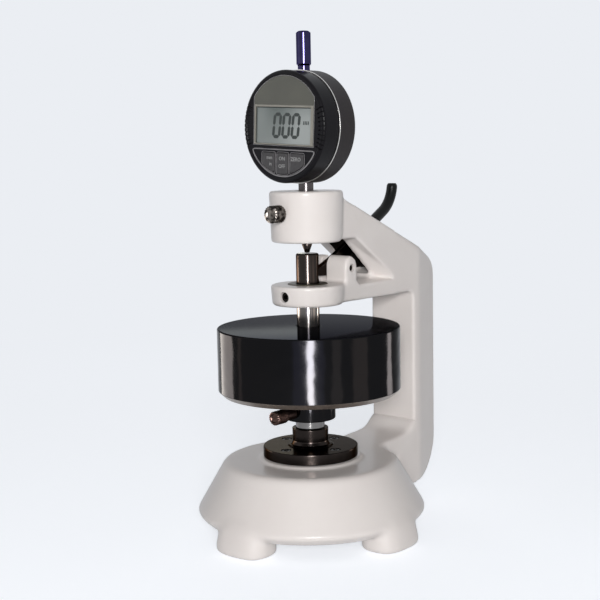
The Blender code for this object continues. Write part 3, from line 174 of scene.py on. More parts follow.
def bridge(rings, matrix=AXIS, caps=True):
    """Skin rings of points in millimetres, all of one count."""
    work = bmesh.new()
    rows = [[work.verts.new([value * MM for value in point]) for point in ring]
            for ring in rings]
    count = len(rows[0])
    for lower, upper in zip(rows, rows[1:]):
        for i in range(count):
            j = (i + 1) % count
            work.faces.new((lower[i], lower[j], upper[j], upper[i]))
    if caps:
        work.faces.new(rows[0])
        work.faces.new(rows[-1])
    bmesh.ops.transform(work, matrix=matrix, verts=work.verts)
    bmesh.ops.recalc_face_normals(work, faces=work.faces)
    return work


def gather(works):
    """One bmesh that holds the solids of several."""
    whole = bmesh.new()
    for work in works:
        mesh = bpy.data.meshes.new("gathered")
        work.to_mesh(mesh)
        work.free()
        whole.from_mesh(mesh)
        bpy.data.meshes.remove(mesh)
    return whole


def new_object(name, work):
    mesh = bpy.data.meshes.new(name)
    work.to_mesh(mesh)
    work.free()
    made = bpy.data.objects.new(name, mesh)
    bpy.context.scene.collection.objects.link(made)
    return made


def settle(piece, kind, **settings):
    """Run a modifier on a piece and keep the result as its mesh."""
    modifier = piece.modifiers.new(kind.lower(), kind)
    for name, value in settings.items():
        setattr(modifier, name, value)
    bpy.context.view_layer.update()
    shaped = piece.evaluated_get(bpy.context.evaluated_depsgraph_get())
    mesh = bpy.data.meshes.new_from_object(shaped)
    piece.modifiers.clear()
    piece.data = mesh


def carve(piece, works, operation="DIFFERENCE"):
    """Cut solids out of a piece, or join or intersect it with them."""
    tool = new_object("tool", gather(works))
    settle(piece, "BOOLEAN", operation=operation, object=tool, solver="MANIFOLD")
    bpy.data.objects.remove(tool)


def relax(piece, passes, freedom=None):
    """Average each vertex with its neighbours; freedom(points) says how far each may go."""
    mesh = piece.data
    count = len(mesh.vertices)
    points = np.empty(count * 3)
    mesh.vertices.foreach_get("co", points)
    points = points.reshape(-1, 3)
    edges = np.empty(len(mesh.edges) * 2, int)
    mesh.edges.foreach_get("vertices", edges)
    first, second = edges.reshape(-1, 2).T
    share = 1 / np.maximum(np.bincount(edges, minlength=count), 1)
    weight = np.ones(count) if freedom is None else freedom(points)
    for _ in range(passes):
        around = np.empty_like(points)
        for k in range(3):
            around[:, k] = (np.bincount(first, points[second, k], count)
                            + np.bincount(second, points[first, k], count)) * share
        points += 0.5 * weight[:, None] * (around - points)
    mesh.vertices.foreach_set("co", points.ravel())
    mesh.update()


def dress(piece, material, body, nodes=(), sharp=38, even=True):
    """Finish a piece: its shading and material, its body and the CAD nodes it replaces. even
    weights the shading by face size, which keeps flat faces beside bevels flat."""
    piece.data.materials.clear()
    piece.data.materials.append(material)
    piece.data.shade_smooth()
    if sharp:
        piece.data.set_sharp_from_angle(angle=math.radians(sharp))
    if even:
        normals = piece.modifiers.new("even_normals", "WEIGHTED_NORMAL")
        normals.keep_sharp = True
    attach(piece, body)
    if nodes:
        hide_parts(*nodes)


# Stoving enamel: a thick, slightly wavy gloss coat, a little greyer where it is thin
enamel = mottled("stoved ivory enamel", "E9E3DF", "DFD7D3", 26, 3.0,
                 relief=[(5.0, 1.0, 0.30, 0.25), (0.9, 2.0, 0.10, 0.05)], Roughness=0.36,
                 Specular_IOR_Level=0.20, Coat_Weight=0.22, Coat_Roughness=0.10)

BASE_RADIUS = 62.5
BASE_HEIGHT = 40.0
BASE_TOP_RADIUS = 46.4
WIDEST = 13.0
WALL = 4.5
SKIRT = 8.7
PAD_RADIUS = 27.5
PAD_TOP = 41.3
base_profile = rounded([
    (0, PAD_TOP), (PAD_RADIUS, PAD_TOP, 0.4), (PAD_RADIUS + 0.9, BASE_HEIGHT, 1.2),
    (BASE_TOP_RADIUS + 0.6, BASE_HEIGHT, 5.0), (BASE_RADIUS + 0.2, WIDEST, 2.0),
    (BASE_RADIUS - 4.2, SKIRT, 1.2), (BASE_RADIUS - 7.8, SKIRT, 1.0),
    (BASE_RADIUS - WALL, WIDEST), (BASE_TOP_RADIUS - WALL, BASE_HEIGHT - WALL, 4.0),
    (0, BASE_HEIGHT - WALL)], closed=False)

FOOT_REACH = 65.4
FOOT_LENGTH = 24.0
FOOT_WIDTH = 32.0
SQUARENESS = 0.7
# Height, inset and shift towards the axis of each level of a foot
foot_levels = ((0, 2.4, 0), (0.8, 0.8, 0), (2.2, 0, 0), (6.5, 0.3, 0.1), (WIDEST, 0.8, 1.3),
               (18.0, 1.3, 3.9), (26.0, 2.4, 10.0))


def circle(radius, count, start=0.0):
    """Points evenly round a circle, the first at an angle in degrees."""
    angles = [math.radians(start + 360 * k / count) for k in range(count)]
    return [(radius * math.cos(angle), radius * math.sin(angle)) for angle in angles]


def foot(turn):
    """One cast foot, squarish in plan, leaning in to the cone above it."""
    rings = []
    for height, inset, shift in foot_levels:
        middle = FOOT_REACH - FOOT_LENGTH / 2 - shift
        rings.append([(middle + (FOOT_LENGTH / 2 - inset) * math.copysign(abs(x) ** SQUARENESS, x),
                       (FOOT_WIDTH / 2 - inset) * math.copysign(abs(y) ** SQUARENESS, y), height)
                      for x, y in circle(1, 48)])
    return bridge(rings, AXIS @ Matrix.Rotation(turn, 4, "Z"))


SADDLE_TOP = 49.5
SADDLE_HALF = 16.5
SADDLE_BACK = 78.2
BEHIND = 86.0
saddle = rounded([
    (24, 38.5), (36, 40.4, 8), (69.5, 42.4, 12), (SADDLE_BACK - 1.2, SADDLE_TOP, 2),
    (BEHIND, SADDLE_TOP + 0.4), (BEHIND, 10.5), (60, 10.5), (60, 30.0), (24, 36.5)])
solids = [lathe(base_profile, 192)] + [foot(math.tau * i / 4) for i in range(4)]
base = new_object("cast_base", gather(solids + [slab(saddle, SADDLE_HALF)]))
BASE_CELL = 0.75
settle(base, "REMESH", mode="VOXEL", voxel_size=BASE_CELL * MM)


def base_freedom(points):
    """Fillets are wide where the saddle and the feet grow out of the cone."""
    x, y, z = (points - np.array(AXIS.translation)).T / MM
    around = np.hypot(x, y)
    saddle_root = (y > 30) * (np.abs(x) < 30) * (z > 28)
    near_foot = np.minimum(np.abs(x), np.abs(y)) < FOOT_WIDTH / 2 + 3
    foot_root = near_foot * (around > 55) * (z > 6) * (z < 24)
    return np.where(saddle_root, 1.0, np.where(foot_root, 0.35, 0.08))


relax(base, 60, base_freedom)
relax(base, 2)
hollow = rounded([
    (40, 18), (40, 37.5), (70.0, 37.5, 2), (70.0, -1), (61, -1), (61, 13), (57, 18)])


def oblong(left, low, right, high):
    return [(left, low), (right, low), (right, high), (left, high)]


def bore(radius, length, matrix, steps=64):
    """A round solid to cut with, which starts at the origin of its matrix."""
    return lathe(oblong(0, 0, radius, length), steps, matrix)


def moved(x, y, z):
    return Matrix.Translation((x * MM, y * MM, z * MM))


def at(x, y, z):
    """A place in millimetres from the spindle's axis and the bench."""
    return AXIS @ moved(x, y, z)


def heights(name):
    """Lowest and highest point of a CAD node, in millimetres."""
    return [corner.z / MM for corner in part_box(name)]


# Once its long edges are soft, the saddle is cut flat where the column stands against it
holes = [slab(hollow, 9.5), slab(oblong(SADDLE_BACK, -1, BEHIND + 3, 60), 25)]
TO_BACK = Matrix.Rotation(-math.pi / 2, 4, "X")
for name in ("arm_bolt_lower", "arm_bolt_upper"):
    holes.append(bore(3.3, 14, at(0, 66, sum(heights(name)) / 2) @ TO_BACK, 32))
for hole in holes:
    carve(base, [hole])
# The column's foot isn't quite square on the saddle and leaves a thin wedge of shadow
wedge = [[(-19, 75.6, 60), (-19, 80, 60), (-19, 80, SADDLE_TOP - 2.4)],
         [(11, 77.4, 60), (11, 80, 60), (11, 80, SADDLE_TOP - 0.4)]]
carve(base, [bridge(wedge)])
dress(base, enamel, "frame", ["base_casting"], sharp=50, even=False)

# C-arm casting
# One iron casting: column with a tapered back, sloping upper arm with a slot for the
# lever, guide ring below it and boss in front. Its bores and the slot are machined.
BOSS_RADIUS = 20.0
BOSS_TOP = 186.0
BOSS_BOTTOM = 158.6
RING_TOP = 135.8
RING_BOTTOM = 124.8
ARM_HALF = 15.5
COLUMN_FRONT = 77.3
COLUMN_BACK = 112.0
COLUMN_BOTTOM = 10.5
ARM_START = 15.0
ARM_TOP = 181.0
SLOPE = (ARM_TOP - 152.0) / (81.8 - ARM_START)
ARM_BACK = ARM_TOP - SLOPE * (COLUMN_BACK - ARM_START)
THROAT_FRONT = 22.5
THROAT_BACK = 49.9
side_view = rounded([
    (8, RING_BOTTOM + 0.3), (COLUMN_FRONT, RING_BOTTOM + 0.3, 4), (COLUMN_FRONT, COLUMN_BOTTOM),
    (COLUMN_BACK, COLUMN_BOTTOM, 30), (COLUMN_BACK, ARM_BACK, 18), (ARM_START, ARM_TOP),
    (8, ARM_TOP), (8, BOSS_BOTTOM + 0.4), (THROAT_FRONT, BOSS_BOTTOM + 0.4),
    (THROAT_BACK, RING_TOP - 0.3, 2.5), (8, RING_TOP - 0.3)])
SHOULDER = COLUMN_FRONT + 6.0
BACK_HALF = 7.0
plan = rounded([
    (ARM_HALF, -1), (ARM_HALF, SHOULDER, 4), (BACK_HALF, COLUMN_BACK, 5.5),
    (-BACK_HALF, COLUMN_BACK, 5.5), (-ARM_HALF, SHOULDER, 4), (-ARM_HALF, -1)], step=8)
arm = new_object("cast_arm", slab(side_view, 20))
carve(arm, [extrude(plan, 0, 200)], "INTERSECT")
LUG_BACK = 19.2
LUG_HEIGHT = 143.5
LUG_RADIUS = 4.9
LUG_CROWN = 1.7
lug = [(LUG_BACK + LUG_RADIUS * math.cos(math.radians(a)),
        LUG_HEIGHT + (LUG_RADIUS + LUG_CROWN) * math.sin(math.radians(a))) for a in range(0, 181, 10)]
lug += [(LUG_BACK - LUG_RADIUS, RING_TOP - 3), (LUG_BACK + LUG_RADIUS, RING_TOP - 3)]
for low, high, taper in ((BOSS_BOTTOM, BOSS_TOP, 0.9), (RING_BOTTOM, RING_TOP, 0.8)):
    drum = rounded([(0, low), (BOSS_RADIUS - taper, low, 1.0), (BOSS_RADIUS, high, 1.0),
                    (0, high)], closed=False)
    carve(arm, [lathe(drum, 128)], "UNION")
carve(arm, [slab(lug, ARM_HALF - 0.1)], "UNION")
SLOT_HALF = 6.0
slot = rounded([(20.5, 137.8), (48, 137.8), (86, 147.8), (88, 190), (20.5, 190)])
carve(arm, [slab(slot, SLOT_HALF)])
# The opening below the boss flares out to both sides, down to a long shallow tip
throat = [(8, BOSS_BOTTOM + 0.4), (THROAT_FRONT, BOSS_BOTTOM + 0.4),
          (THROAT_BACK, RING_TOP - 0.4), (26, RING_TOP - 0.4), (25, 151.0), (8, 151.5)]
flare = [(8, BOSS_BOTTOM + 1.0), (24.0, BOSS_BOTTOM + 1.0), (62.0, RING_TOP - 2.0),
         (26, RING_TOP - 2.8), (25, 151.0), (8, 151.5)]
for side in (-1, 1):
    carve(arm, [bridge([[(side * 8.5, y, z) for y, z in throat],
                        [(side * 17.0, y, z) for y, z in flare]])])
ARM_CELL = 0.6
settle(arm, "REMESH", mode="VOXEL", voxel_size=ARM_CELL * MM)


def arm_freedom(points):
    """The column's long edges and the roots of the boss and ring are rounder than the rest."""
    x, y, z = (points - np.array(AXIS.translation)).T / MM
    around = np.hypot(x, y)
    root = (around > 19.0) * (around < 27.0) * (np.abs(x) > 8) * (y > 4)
    column = y > 60
    return np.where(root, 0.8, np.where(column, 0.9, 0.35))


relax(arm, 26, arm_freedom)
TO_FRONT = Matrix.Rotation(math.pi / 2, 4, "X")
TO_RIGHT = Matrix.Rotation(math.pi / 2, 4, "Y")
CLAMP_HEIGHT = sum(heights("stem_clamp_screw")) / 2
GUIDE_HEIGHT = (RING_TOP + RING_BOTTOM) / 2
bores = [bore(6.9, 60, at(0, 0, BOSS_BOTTOM - 8)), bore(11.1, 30, at(0, 0, RING_BOTTOM - 8)),
         bore(2.2, 40, at(0, 0, CLAMP_HEIGHT) @ TO_FRONT, 32),
         bore(2.9, 40, at(0, 0, GUIDE_HEIGHT) @ TO_FRONT, 32),
         bore(2.1, 60, at(-30, LUG_BACK, LUG_HEIGHT) @ TO_RIGHT, 32),
         slab(oblong(9, RING_TOP + 0.15, 29, 154), 1.8)]
for work in bores:
    carve(arm, [work])
dress(arm, enamel, "frame", ["arm_casting"], sharp=50, even=False)

# The slot's walls up under the arm get a dark iron finish, painted shade where the
# arm's underside shades them; the pocket below it keeps its enamel
slot_shade_iron = mottled("slot iron, painted shade", "2A2624", "4A4440", 1.5, 4.0, Metallic=1.0, Roughness=0.5,
               Specular_Tint=(0.5, 0.48, 0.46, 1))
arm.data.materials.append(slot_shade_iron)
FALL = (BOSS_BOTTOM - RING_TOP) / (THROAT_BACK - THROAT_FRONT)
# Painted shade: slot wall faces from just below the arm's underside upwards
for face in arm.data.polygons:
    middle = (face.center - AXIS.translation) / MM
    underside = BOSS_BOTTOM - FALL * (middle.y - THROAT_FRONT)
    if (abs(middle.x) < SLOT_HALF + 0.25 and 19.5 < middle.y < 88
            and middle.z > max(underside - 1.5, 140)):
        face.material_index = 1

# Arm bolts and washers
# Two socket cap screws with washers, out of sight inside the base. They keep the CAD's
# shape and get the black oxide that such screws have.
oxide = mottled("black oxide steel", "1C1B1B", "2E2A28", 0.8, 4.0, Metallic=1.0, Roughness=0.42)


def recoat(material, *names):
    """Give CAD nodes that keep their shape a finished material."""
    for name in names:
        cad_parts[name].data.materials.clear()
        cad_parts[name].data.materials.append(material)


recoat(oxide, "arm_bolt_lower", "arm_bolt_upper", "arm_washer_lower", "arm_washer_upper")

# Anvil
# Tool steel turned to a flange and a waisted post, hardened, ground and lapped on top.
# It is dark from its hardening, with a brown cast, and shows fine turning rings.
tool_steel = mottled("ground tool steel", "1E1A19", "322D2A", 9, 4.0, Metallic=1.0,
                     Roughness=0.20, Specular_Tint=(0.42, 0.41, 0.40, 1))
# Grinding rings, drawn half a millimetre apart so that they show
tree = tool_steel.node_tree
flat = add_node(tree, "ShaderNodeMapping", {
    "Vector": tree.nodes["Texture Coordinate"].outputs["Object"], "Scale": (0.02, 0.02, 1.0)})
lines = add_node(tree, "ShaderNodeTexNoise", {
    "Vector": flat.outputs["Vector"], "Scale": 1 / (0.5 * MM), "Detail": 3.0})
grind = add_node(tree, "ShaderNodeBump", {
    "Height": lines.outputs["Fac"], "Strength": 0.12, "Distance": 0.02 * MM})
tree.links.new(grind.outputs["Normal"], tree.nodes["Principled BSDF"].inputs["Normal"])

FLANGE_RADIUS = 25.9
FLANGE_BOTTOM = 41.6
FLANGE_TOP = 47.3
POST_RADIUS = 9.9
POST_TOP = 57.0


def turned(name, corners, steps, matrix=AXIS, hollow=False):
    """A turned piece from the corners of its profile; a hollow one has a closed profile."""
    return new_object(name, lathe(rounded(corners, hollow), steps, matrix, hollow))


anvil = turned("turned_anvil", [
    (0, FLANGE_BOTTOM), (FLANGE_RADIUS, FLANGE_BOTTOM, 0.5), (FLANGE_RADIUS, FLANGE_TOP, 0.5),
    (12.6, FLANGE_TOP, 0.3), (12.0, FLANGE_TOP + 0.7, 0.3), (10.7, FLANGE_TOP + 0.7, 0.7),
    (9.7, FLANGE_TOP + 2.6, 1.2), (POST_RADIUS, POST_TOP, 0.35), (0, POST_TOP)], 160)
SCREW_CIRCLE = 18.8
SCREW_TURN = -5.0
SINK = 2.2
screw_places = circle(SCREW_CIRCLE, 4, SCREW_TURN - 90)
carve(anvil, [bore(2.9, 10, at(x, y, FLANGE_TOP - SINK), 40) for x, y in screw_places])
dress(anvil, tool_steel, "frame", ["anvil"])

SOCKET_FLATS = 2.6
SOCKET = circle(SOCKET_FLATS / math.sqrt(3), 6, 30)
for i, (x, y) in enumerate(screw_places):
    screw = turned(f"anvil_cap_screw_{i + 1}", [
        (0, -9.0), (1.8, -9.0, 0.3), (1.8, -2.0), (2.6, -2.0), (2.6, -0.3, 0.3), (0, -0.3)],
        40, at(x, y, FLANGE_TOP))
    carve(screw, [extrude(SOCKET, -1.5, 1.0, at(x, y, FLANGE_TOP))])
    dress(screw, oxide, "frame", [f"anvil_screw_{i + 1}"])

# Guide bush and its grub screw
# Sintered bronze ring, dark with oil, pressed into the guide ring and held by a grub
# screw from the front, whose hexagon socket sits below the paint.
# Its pores are drawn coarser than real ones so that they show
bronze = mottled("oiled sintered bronze", "2E2B24", "5B5446", 0.35, 3.0, Metallic=1.0,
                 Roughness=0.45)

BUSH_RADIUS = 10.8
SPINDLE_RADIUS = 6.15
RUNNING_FIT = SPINDLE_RADIUS + 0.3
bush = turned("bronze_guide_bush", [
    (RUNNING_FIT, RING_BOTTOM - 0.4, 0.3), (BUSH_RADIUS, RING_BOTTOM - 0.4, 0.3),
    (BUSH_RADIUS, RING_TOP + 0.4, 0.4), (RUNNING_FIT, RING_TOP + 0.4, 0.5)], 96, hollow=True)
dress(bush, bronze, "frame", ["guide_bush"])

GRUB_RADIUS = 2.6
grub_place = at(0, 0, GUIDE_HEIGHT) @ TO_FRONT
grub_end = BOSS_RADIUS - 1.6
grub = turned("guide_grub", [
    (0, BUSH_RADIUS + 0.3), (GRUB_RADIUS, BUSH_RADIUS + 0.3, 0.6), (GRUB_RADIUS, grub_end, 0.3),
    (0, grub_end)], 40, grub_place)
carve(grub, [extrude(SOCKET, grub_end - 3.5, grub_end + 1, grub_place)])
dress(grub, oxide, "frame", ["guide_grub_screw"])

# Spindle
# A ground steel shaft with a notch at the back for the lever's nose. It is polished by
# its bush and looks brown-grey under its film of oil.
shaft_steel = mottled("oiled ground shaft", "25211F", "403A36", 3, 4.0, Metallic=1.0,
                      Roughness=0.16, Specular_Tint=(0.35, 0.32, 0.30, 1))
tree = shaft_steel.node_tree
place = tree.nodes["Texture Coordinate"].outputs["Object"]
stretch = add_node(tree, "ShaderNodeMapping", {"Vector": place, "Scale": (1.0, 1.0, 0.10)})
tree.links.new(stretch.outputs["Vector"], tree.nodes["Noise Texture"].inputs["Vector"])
# Painted light: below the guide ring the shaft is given a paler colour for the brighter
# sheen it shows there
spot = add_node(tree, "ShaderNodeSeparateXYZ", {"Vector": place})
painted_sheen_share = add_node(tree, "ShaderNodeMapRange", {
    "Value": spot.outputs["Z"], "From Min": 123 * MM, "From Max": 130 * MM})
whole = add_node(tree, "ShaderNodeMix", {
    "Factor": painted_sheen_share.outputs["Result"], "A": linear("6E6A67"),
    "B": tree.nodes["Mix"].outputs["Result"]}, data_type="RGBA")
tree.links.new(whole.outputs["Result"], tree.nodes["Principled BSDF"].inputs["Base Color"])

SPINDLE_BOTTOM, SPINDLE_TOP = heights("spindle_shaft")
shaft = turned("ground_spindle", [
    (0, SPINDLE_BOTTOM), (SPINDLE_RADIUS, SPINDLE_BOTTOM, 0.5),
    (SPINDLE_RADIUS, SPINDLE_TOP, 1.0), (0, SPINDLE_TOP)], 96)
NOSE_FRONT = (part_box("lift_lever")[0].y - AXIS.translation.y) / MM
NOSE_HEIGHT = 141.0
notch = oblong(NOSE_FRONT - 0.6, NOSE_HEIGHT - 2.7, 9, NOSE_HEIGHT + 2.7)
carve(shaft, [slab(notch, 12), bore(3.3, 9, at(0, 0, SPINDLE_BOTTOM - 1), 40)])
dress(shaft, shaft_steel, "spindle", ["spindle_shaft"])

# Weight
# A steel disc with a hub below, turned and plated in black chrome. Its rim is polished and
# mirrors the room; its lapped top has painted shade and the chamfer below painted light.
WEIGHT_RADIUS = 49.7
WEIGHT_TOP = 112.8
WEIGHT_BOTTOM = 76.3
HUB_RADIUS = 14.0
# Polishing leaves slow waves a centimetre long, which make the reflections wander
black_chrome = mottled("polished black chrome", "18181A", "1C1B1B", 30, 2.0,
                       relief=[(12, 1.0, 0.5, 0.6)], Metallic=1.0, Roughness=0.12,
                       Specular_Tint=(0.52, 0.52, 0.52, 1))
# Lapping leaves the top flat and smooth; its darker copy of the chrome, which mirrors
# little at a slant, is painted shade that keeps the top nearly black
top_shade_chrome = mottled("lapped black chrome, painted shade", "1A1C22", "24262A", 18, 2.0, Metallic=1.0,
                        Roughness=0.06, Specular_Tint=(0.09, 0.09, 0.10, 1))
# Painted light: the chamfer below gets a lighter, browner steel for the lit band along it
chamfer_light_steel = mottled("chamfer steel, painted light", "5E564F", "8C827A", 7, 3.0, Metallic=1.0,
                     Roughness=0.30)
weight = turned("polished_weight", [
    (RUNNING_FIT, SPINDLE_BOTTOM, 0.4), (HUB_RADIUS, SPINDLE_BOTTOM, 0.8),
    (HUB_RADIUS, WEIGHT_BOTTOM, 1.0), (WEIGHT_RADIUS - 2.8, WEIGHT_BOTTOM, 0.5),
    (WEIGHT_RADIUS, WEIGHT_BOTTOM + 2.8, 0.5), (WEIGHT_RADIUS, WEIGHT_TOP, 0.8),
    (RUNNING_FIT, WEIGHT_TOP, 0.8)], 256, hollow=True)
HOLDER_HEIGHT = sum(heights("weight_clamp_screw")) / 2
carve(weight, [bore(2.2, 22, at(0, 0, HOLDER_HEIGHT) @ TO_FRONT, 32)])
dress(weight, black_chrome, "spindle", ["weight"])
weight.data.materials.append(top_shade_chrome)
weight.data.materials.append(chamfer_light_steel)
# The top takes the painted-shade chrome and the chamfer below the painted-light steel
for face in weight.data.polygons:
    middle = (face.center - AXIS.translation) / MM
    if face.normal.z > 0.8:
        face.material_index = 1
    elif face.normal.z < -0.4 and math.hypot(middle.x, middle.y) > WEIGHT_RADIUS - 3.5:
        face.material_index = 2

# Presser foot
# A round foot of hard-chromed steel, lapped flat below, with a stud up into the spindle.
# The plate is bright and slightly hazy, and mirrors the anvil.
chrome = mottled("bright chrome plate", "626160", "868482", 4, 3.0, Metallic=1.0,
                 Roughness=0.12, Specular_Tint=(0.8, 0.8, 0.85, 1))
PRESSER_LOW = heights("presser_foot")[0]
PRESSER_HIGH = PRESSER_LOW + 4.4
STUD_TOP = SPINDLE_BOTTOM + 7.9
presser = turned("lapped_presser_foot", [
    (0, PRESSER_LOW), (8.0, PRESSER_LOW, 0.2), (8.0, PRESSER_HIGH, 0.7), (3.0, PRESSER_HIGH, 0.2),
    (3.0, STUD_TOP, 0.4), (0, STUD_TOP)], 96)
dress(presser, chrome, "spindle", ["presser_foot"])

# Thumbscrews
# Two steel screws with diamond-knurled heads: one clamps the indicator's stem in the
# boss, the other holds the weight on the spindle. They are nickel plated and tarnished.
# The tarnish sits in patches a few millimetres wide, from nearly black to dull grey
nickel = mottled("tarnished nickel plate", "211F1E", "7A746E", 2.4, 4.0, Metallic=1.0,
                 Roughness=0.36, Specular_Tint=(0.5, 0.48, 0.46, 1))
tree = nickel.node_tree
patches = add_node(tree, "ShaderNodeMapRange", {
    "Value": tree.nodes["Noise Texture"].outputs["Fac"], "From Min": 0.42, "From Max": 0.62})
tree.links.new(patches.outputs["Result"], tree.nodes["Mix"].inputs["Factor"])

KNURLS = 20
KNURL_DEPTH = 0.38
KNURL_LEVELS = 16


def thumbscrew(name, shank, neck, neck_radius, head_radius, head_length, matrix):
    """A knurled head on a neck; the shank points down, the neck starts at height 0."""
    count = KNURLS * 6
    top = neck + head_length
    rows = [(1.3, -shank), (1.9, -shank + 0.6), (1.9, 0), (neck_radius, 0.05),
            (neck_radius, neck), (head_radius - 0.9, neck + 0.02)]
    rings = [[(x, y, z) for x, y in circle(radius, count)] for radius, z in rows]
    for k in range(KNURL_LEVELS + 1):
        z = neck + 0.5 + (head_length - 1.0) * k / KNURL_LEVELS
        climb = (z - neck) * KNURLS / head_radius
        ring = []
        for i, (x, y) in enumerate(circle(1, count)):
            turn = math.tau * i / 6
            ridge = abs(math.sin((turn + climb) / 2)) * abs(math.sin((turn - climb) / 2))
            radius = head_radius - KNURL_DEPTH * (1 - ridge)
            ring.append((radius * x, radius * y, z))
        rings.append(ring)
    for radius, z in ((head_radius - 0.9, top), (0.62 * head_radius, top),
                      (0.50 * head_radius, top - 0.5), (0.12 * head_radius, top - 0.5)):
        rings.append([(x, y, z) for x, y in circle(radius, count)])
    return new_object(name, bridge(rings, matrix))


clamp = thumbscrew("knurled_stem_clamp", 13.0, 1.0, 3.1, 4.7, 8.0,
                   at(0, -BOSS_RADIUS - 0.3, CLAMP_HEIGHT) @ TO_FRONT)
dress(clamp, nickel, "stem_clamp", ["stem_clamp_screw"])
holder = thumbscrew("knurled_weight_screw", 7.7, 7.0, 3.0, 3.9, 8.5,
                    at(0, -HUB_RADIUS - 0.3, HOLDER_HEIGHT) @ TO_FRONT)
# Painted shade: the screw under the weight gets a darker, browner copy of the nickel
shaded_nickel = mottled("nickel plate, painted shade", "1D1615", "5A4842", 2, 4.0, Metallic=1.0,
                  Roughness=0.34, Specular_Tint=(0.4, 0.36, 0.35, 1))
dress(holder, shaded_nickel, "weight_clamp", ["weight_clamp_screw"])

# Lift lever
# A flat steel link on a pin between two lugs: its nose sits in the spindle's notch and
# its tail carries a rod with a dip-moulded vinyl sleeve, bent up for the fingers.
RISE = math.radians(29.7)
PIVOT = at(0, LUG_BACK, LUG_HEIGHT)
LINK_VIEW = PIVOT @ SIDEWAYS


def arc(x, y, radius, begin, finish, steps):
    """Points along an arc between two angles in degrees, both ends included."""
    angles = [math.radians(begin + (finish - begin) * k / steps) for k in range(steps + 1)]
    return [(x + radius * math.cos(angle), y + radius * math.sin(angle)) for angle in angles]


def link(radius, end, end_radius):
    """Outline of a round end at the pivot and another one, joined by tangents."""
    heading = math.degrees(math.atan2(end[1], end[0]))
    spread = math.degrees(math.acos((radius - end_radius) / math.hypot(*end)))
    return (arc(0, 0, radius, heading + spread, heading + 360 - spread, 24)
            + arc(*end, end_radius, heading - spread, heading + spread, 24))


TAIL = 24.0
ROD_RADIUS = 1.9
NOSE_RADIUS = 2.4
nose = (NOSE_FRONT + NOSE_RADIUS - LUG_BACK, NOSE_HEIGHT - LUG_HEIGHT)
tail = (TAIL * math.cos(RISE), TAIL * math.sin(RISE))
lever = new_object("steel_lift_lever", slab(link(4.6, nose, 1.5), 1.5, LINK_VIEW, 0.25))
carve(lever, [slab(link(4.55, tail, 3.2), 1.45, LINK_VIEW, 0.25)], "UNION")
round_nose = arc(*nose, NOSE_RADIUS, 0, 348, 29)
carve(lever, [slab(round_nose, 1.48, LINK_VIEW, 0.2)], "UNION")

STRAIGHT = 57.1
BEND = 19.0
END_RISE = math.radians(88.0)


def handle(first, last):
    """Points (back, up, heading) of the handle's middle line, straight and then bent up,
    from a distance to the pivot and up to a distance from its end."""
    line = []
    for i in range(8):
        reach = first + (STRAIGHT - first) * i / 8
        line.append((reach * math.cos(RISE), reach * math.sin(RISE), RISE))
    back = STRAIGHT * math.cos(RISE) - BEND * math.sin(RISE)
    up = STRAIGHT * math.sin(RISE) + BEND * math.cos(RISE)
    for i in range(29):
        angle = RISE + (END_RISE - last / BEND - RISE) * i / 28
        line.append((back + BEND * math.sin(angle), up - BEND * math.cos(angle), angle))
    return line


def tube(line, radii):
    """Rings of given radii square to a line of (back, up, heading) points."""
    return [[(x, back - y * math.sin(heading), up + y * math.cos(heading))
             for x, y in circle(radius, 32)]
            for (back, up, heading), radius in zip(line, radii)]


rod_line = handle(18.0, 1.8)
carve(lever, [bridge(tube(rod_line, [ROD_RADIUS] * len(rod_line)), PIVOT)], "UNION")
carve(lever, [bore(2.1, 12, PIVOT @ moved(-6, 0, 0) @ TO_RIGHT, 32)])
dress(lever, tool_steel, "lever", ["lift_lever"])

# Dipping gives the vinyl a soft gloss and slight ripples
vinyl = mottled("black dip-moulded vinyl", "060706", "0C0D0C", 2.2, 3.0,
                relief=[(2.2, 3.0, 0.25, 0.08)], Roughness=0.34, Specular_IOR_Level=0.16)

SLEEVE_RADIUS = 3.1
SLEEVE_START = 38.0
outer_line = handle(SLEEVE_START, 0.0)
outer = [SLEEVE_RADIUS] * len(outer_line)
outer[0] = SLEEVE_RADIUS - 0.5
for k, drop in enumerate((0.9, 0.35, 0.1)):
    outer[-1 - k] = SLEEVE_RADIUS - drop
inner_line = handle(SLEEVE_START, 1.5)
inner = tube(inner_line, [2.2] * len(inner_line))
sleeve = new_object("vinyl_lever_sleeve", bridge(inner[::-1] + tube(outer_line, outer), PIVOT))
dress(sleeve, vinyl, "lever", ["lever_sleeve"])

pin = turned("lever_pin", [(0, 0), (1.8, 0, 0.35), (1.8, 29, 0.35), (0, 29)], 40,
             at(-14.5, LUG_BACK, LUG_HEIGHT) @ TO_RIGHT)
dress(pin, tool_steel, "frame", ["lever_pivot_pin"])

# Stem bush and indicator stem
# A split bronze bush in the boss, which the thumbscrew squeezes onto the indicator's
# 8 mm stem of hard-chromed steel, which has gone dull and grey-brown from handling.
BUSH_LOW, BUSH_HIGH = heights("stem_bush")
split_bush = turned("split_stem_bush", [
    (4.3, BUSH_LOW, 0.3), (6.6, BUSH_LOW, 0.3), (6.6, BUSH_HIGH, 0.4), (4.3, BUSH_HIGH, 0.3)],
    96, hollow=True)
carve(split_bush, [slab(oblong(3, BUSH_LOW - 1, 8, BUSH_HIGH + 1), 0.6)])
dress(split_bush, bronze, "frame", ["stem_bush"])

steel_chrome = mottled("dull chrome on steel", "3E3A3A", "6A6564", 4, 3.0, Metallic=1.0,
                       Roughness=0.22, Specular_Tint=(0.5, 0.5, 0.5, 1))
STEM_LOW, STEM_HIGH = heights("indicator_stem")
stem = turned("chromed_stem", [
    (2.3, STEM_LOW, 0.3), (4.0, STEM_LOW, 0.5), (4.0, STEM_HIGH), (2.3, STEM_HIGH)], 64,
    hollow=True)
dress(stem, steel_chrome, "frame", ["indicator_stem"])

# Indicator housing
# Rear half of the digital indicator: a round ABS shell moulded black with a fine spark
# grain, a screwed back cover and a coin-slot cover over its button cell.
INDICATOR = sum(heights("indicator_case")) / 2 * MM
